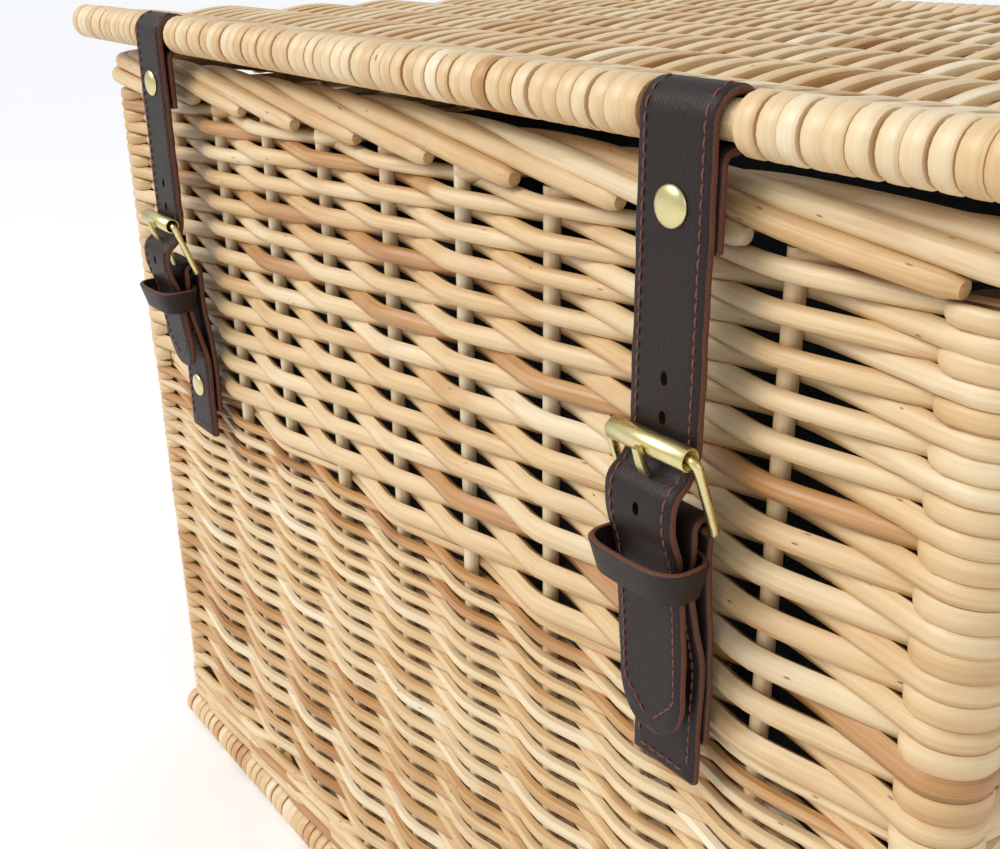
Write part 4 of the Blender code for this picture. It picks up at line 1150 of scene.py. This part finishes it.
# %% Turned pieces
def turned(name, profile, centre, axis, body, node):
    """Spins (radius, along) round an axis through centre. The profile closes on itself or on the axis."""
    profile = np.asarray(profile, float)
    axis = unit(np.asarray(axis, float))
    one = unit(np.cross(axis, np.array([0.3, 0.2, 0.9])))
    two = np.cross(axis, one)
    a = angles(32)
    spoke = one * np.cos(a)[:, None] + two * np.sin(a)[:, None]
    points = np.asarray(centre) + spoke[:, None] * profile[None, :, :1] + axis * profile[None, :, 1:]
    ring = np.arange(32 * len(profile)).reshape(32, len(profile))
    ahead = np.roll(ring, -1, axis=0)
    closed = profile[0, 0] > 1e-6
    last = None if closed else -1
    corners = (ring, ahead, np.roll(ahead, -1, axis=1), np.roll(ring, -1, axis=1))
    quads = np.stack([c[:, :last] for c in corners], -1).reshape(-1, 4)
    points = points.reshape(-1, 3)
    obj = piece(name, points, [quads], points[quads.ravel()][:, :2], {}, BRASS, body, "pale_brass", [node])
    if not closed:
        outward(obj.data, 1e-7)
    return obj


def rivet(name, place, way, grip, body):
    """A domed head outside, (r sin t, h (0.12 + 0.88 cos t)), a shank and a flat cap inside."""
    r, h, shank, cap, cap_thick = RIVET_RADIUS, 0.0016, 0.0015, 0.0040, 0.0009
    dome = [(r * math.sin(t), h * (0.12 + 0.88 * math.cos(t))) for t in np.linspace(0.0, math.pi / 2, 9)]
    rest = [(0.97 * r, 0.0), (shank, 0.0), (shank, -grip), (cap, -grip), (cap, -grip - cap_thick),
            (0.0, -grip - cap_thick)]
    turned(name + "_metal", dome + rest, place, (0, way, 0), body, name)


print("a rivet head is", RIVET_RADIUS * 2000, "mm across")


# %% Buckles
WIRE, WIRE_GAP = 0.0011, 0.0003


def in_buckle(points, x):
    """(x, y, z) from the lower bar, leant out with the frame."""
    c, s = math.cos(LEAN), math.sin(LEAN)
    points = np.asarray(points, float)
    return np.stack([x + points[:, 0], -HALF_DEPTH - BAR_OUT + points[:, 1] * c - points[:, 2] * s,
                     BAR_Z + points[:, 1] * s + points[:, 2] * c], -1)


def buckle_wire(side_name, x):
    """A rectangle of round wire, its corners quarter turns."""
    bend, leg = 0.0016, 0.0130
    high = {1: BUCKLE_HEIGHT - bend, -1: bend}
    corners = [((leg - bend) * a, high[b]) for a, b in ((1, 1), (-1, 1), (-1, -1), (1, -1))]
    ring = np.concatenate([arc(c, bend, 90 * k, 90 * k + 90, 8) for k, c in enumerate(corners)])
    walk, _ = even(np.concatenate([ring, ring[:1]]), 0.0008)
    path = in_buckle(np.stack([walk[:-1, 0], 0 * walk[:-1, 0], walk[:-1, 1]], -1), x)
    out_of_frame = in_buckle([(0, 1, 0)], 0)[0] - in_buckle([(0, 0, 0)], 0)[0]
    made = sweep(path[None], out_of_frame, np.full((1, len(path), 2), WIRE), round_section(12), closed=True)
    piece(f"buckle_wire_{side_name}", *made, BRASS, f"buckle_{side_name}", "pale_brass",
          [f"buckle_frame_{side_name}"])


def buckle_roller(side_name, x):
    """A tube on the upper bar, its rims softened by 0.2 mm."""
    half, outer, bore, soft = ROLLER_LENGTH / 2, ROLLER_RADIUS, ROLLER_BORE, 0.0002
    tube = [(bore, -half + soft), (bore + soft, -half), (outer - soft, -half), (outer, -half + soft),
            (outer, half - soft), (outer - soft, half), (bore + soft, half), (bore, half - soft)]
    centre = in_buckle([(0, 0, BUCKLE_HEIGHT)], x)[0]
    turned(f"buckle_roller_tube_{side_name}", tube, centre, (1, 0, 0), f"roller_{side_name}",
           f"buckle_roller_{side_name}")


def buckle_tongue(side_name, x):
    """Flat wire curled round the lower bar, then straight up and resting on the roller."""
    thick, half_wide, half_thick = 0.0014, 0.0013, 0.0007
    eye = WIRE + WIRE_GAP + half_thick
    rest = ROLLER_RADIUS + WIRE_GAP + thick / 2
    stem = smooth([(-eye, 0), (-eye, 0.45 * BUCKLE_HEIGHT), (-rest, 0.85 * BUCKLE_HEIGHT),
                   (-rest, BUCKLE_HEIGHT), (-rest, BUCKLE_HEIGHT + thick)], 8)
    line, at = even(np.concatenate([arc((0, 0), eye, -120, 180, 24)[:-1], stem]), 0.0006)
    path = in_buckle(np.stack([0 * at, line[:, 0], line[:, 1]], -1), x)
    taper = 1 - 0.35 * np.clip((at - at[-1] + 0.006) / 0.006, 0, 1)
    sizes = np.stack([half_wide * taper, half_thick * np.ones_like(at)], -1)[None]
    made = sweep(path[None], np.array([1.0, 0, 0]), sizes, SLAB)
    piece(f"buckle_tongue_{side_name}", *made, BRASS, f"prong_{side_name}", "pale_brass",
          [f"buckle_prong_{side_name}"])


strap_face = HALF_DEPTH + LID_OUT + LOOP_RADIUS + LEATHER / 2
wall_face = HALF_DEPTH + SECOND + LEATHER / 2
wall_grip = WALL + SECOND + LEATHER / 2 + 0.0003
for side_name, x in SIDES_X.items():
    buckle_wire(side_name, x)
    buckle_roller(side_name, x)
    buckle_tongue(side_name, x)
    rivet(f"strap_rivet_{side_name}", (x, -strap_face, STRAP_RIVET_Z), -1, 2 * LAYER_STEP + 0.0001,
          f"strap_{side_name}")
    rivet(f"buckle_rivet_{side_name}", (x, -wall_face, BUCKLE_RIVET_Z), -1, wall_grip, "basket")
    rivet(f"hinge_rivet_{side_name}", (x, wall_face, HINGE_RIVET_Z), 1, wall_grip, "basket")

# %% [markdown]
# ## Light, floor and camera
#
# A pale floor, a wide sun from above the front, two weak lamps and a bright room keep the shadows
# soft. The plain view transform shows the willow's own colours and lets the floor reach white, which
# a filmic one would grey.

# %% Studio
def studio():
    """Floor, room light and three lamps, each turned to the middle of the hamper."""
    f = Finish("pale_floor")
    shade = f.noise(f.object_place(), (3.0, 3.0, 3.0), 2.0)
    f.finish({"Base Color": f.mix(shade, (0.90, 0.905, 0.92), (0.93, 0.935, 0.945)), "Roughness": 0.75})
    mesh = bpy.data.meshes.new("studio_floor")
    mesh.from_pydata([(-8, -8, 0), (8, -8, 0), (8, 8, 0), (-8, 8, 0)], [], [(0, 1, 2, 3)])
    mesh.materials.append(f.material)
    floor = bpy.data.objects.new("studio_floor", mesh)
    bpy.context.scene.collection.objects.link(floor)
    world = bpy.data.worlds.new("studio")
    world.use_nodes = True
    room = world.node_tree.nodes["Background"].inputs
    room["Color"].default_value = (0.95, 0.975, 1.0, 1)
    room["Strength"].default_value = 0.74
    bpy.context.scene.world = world
    bpy.context.scene.view_settings.view_transform = "Standard"
    for name, kind, place, size, power, colour in (
        ("sun", "SUN", (-0.50, -0.75, 0.95), 0.7, 1.52, (1.0, 0.98, 0.96)),
        ("front", "AREA", (-0.55, -1.25, 1.35), 0.7, 6, (1.0, 0.97, 0.93)),
        ("side", "AREA", (1.5, -0.3, 0.9), 0.8, 2, (1.0, 0.98, 0.95)),
    ):
        lamp = bpy.data.lights.new(name, kind)
        lamp.energy, lamp.color = power, colour
        setattr(lamp, "angle" if kind == "SUN" else "size", size)
        obj = bpy.data.objects.new(name, lamp)
        obj.location = place
        obj.rotation_euler = (Vector((0, 0, 0.15)) - Vector(place)).to_track_quat("-Z", "Y").to_euler()
        bpy.context.scene.collection.objects.link(obj)


studio()

# %% Camera
CAMERA_PLACE = (0.2897, -0.3021, 0.3553)
look = np.array([-0.744, 0.5476, -0.3836])
right = np.array([0.597, 0.802, -0.0127])
look, right = unit(look), unit(right - look * (right @ look) / (look @ look))
up = np.cross(right, look)
camera = bpy.data.objects.new("camera", bpy.data.cameras.new("camera"))
camera.data.lens, camera.data.sensor_width = 43.6, 36
camera.data.clip_start = 0.01
axes = np.stack([right, up, -look], 1).tolist()
camera.matrix_world = Matrix([[*row, at] for row, at in zip(axes, CAMERA_PLACE)] + [[0, 0, 0, 1]])
bpy.context.scene.collection.objects.link(camera)
bpy.context.scene.camera = camera
print("the camera looks along", np.round(look, 2))

# %% [markdown] The dressed hamper has to fill the box of the plain solids.
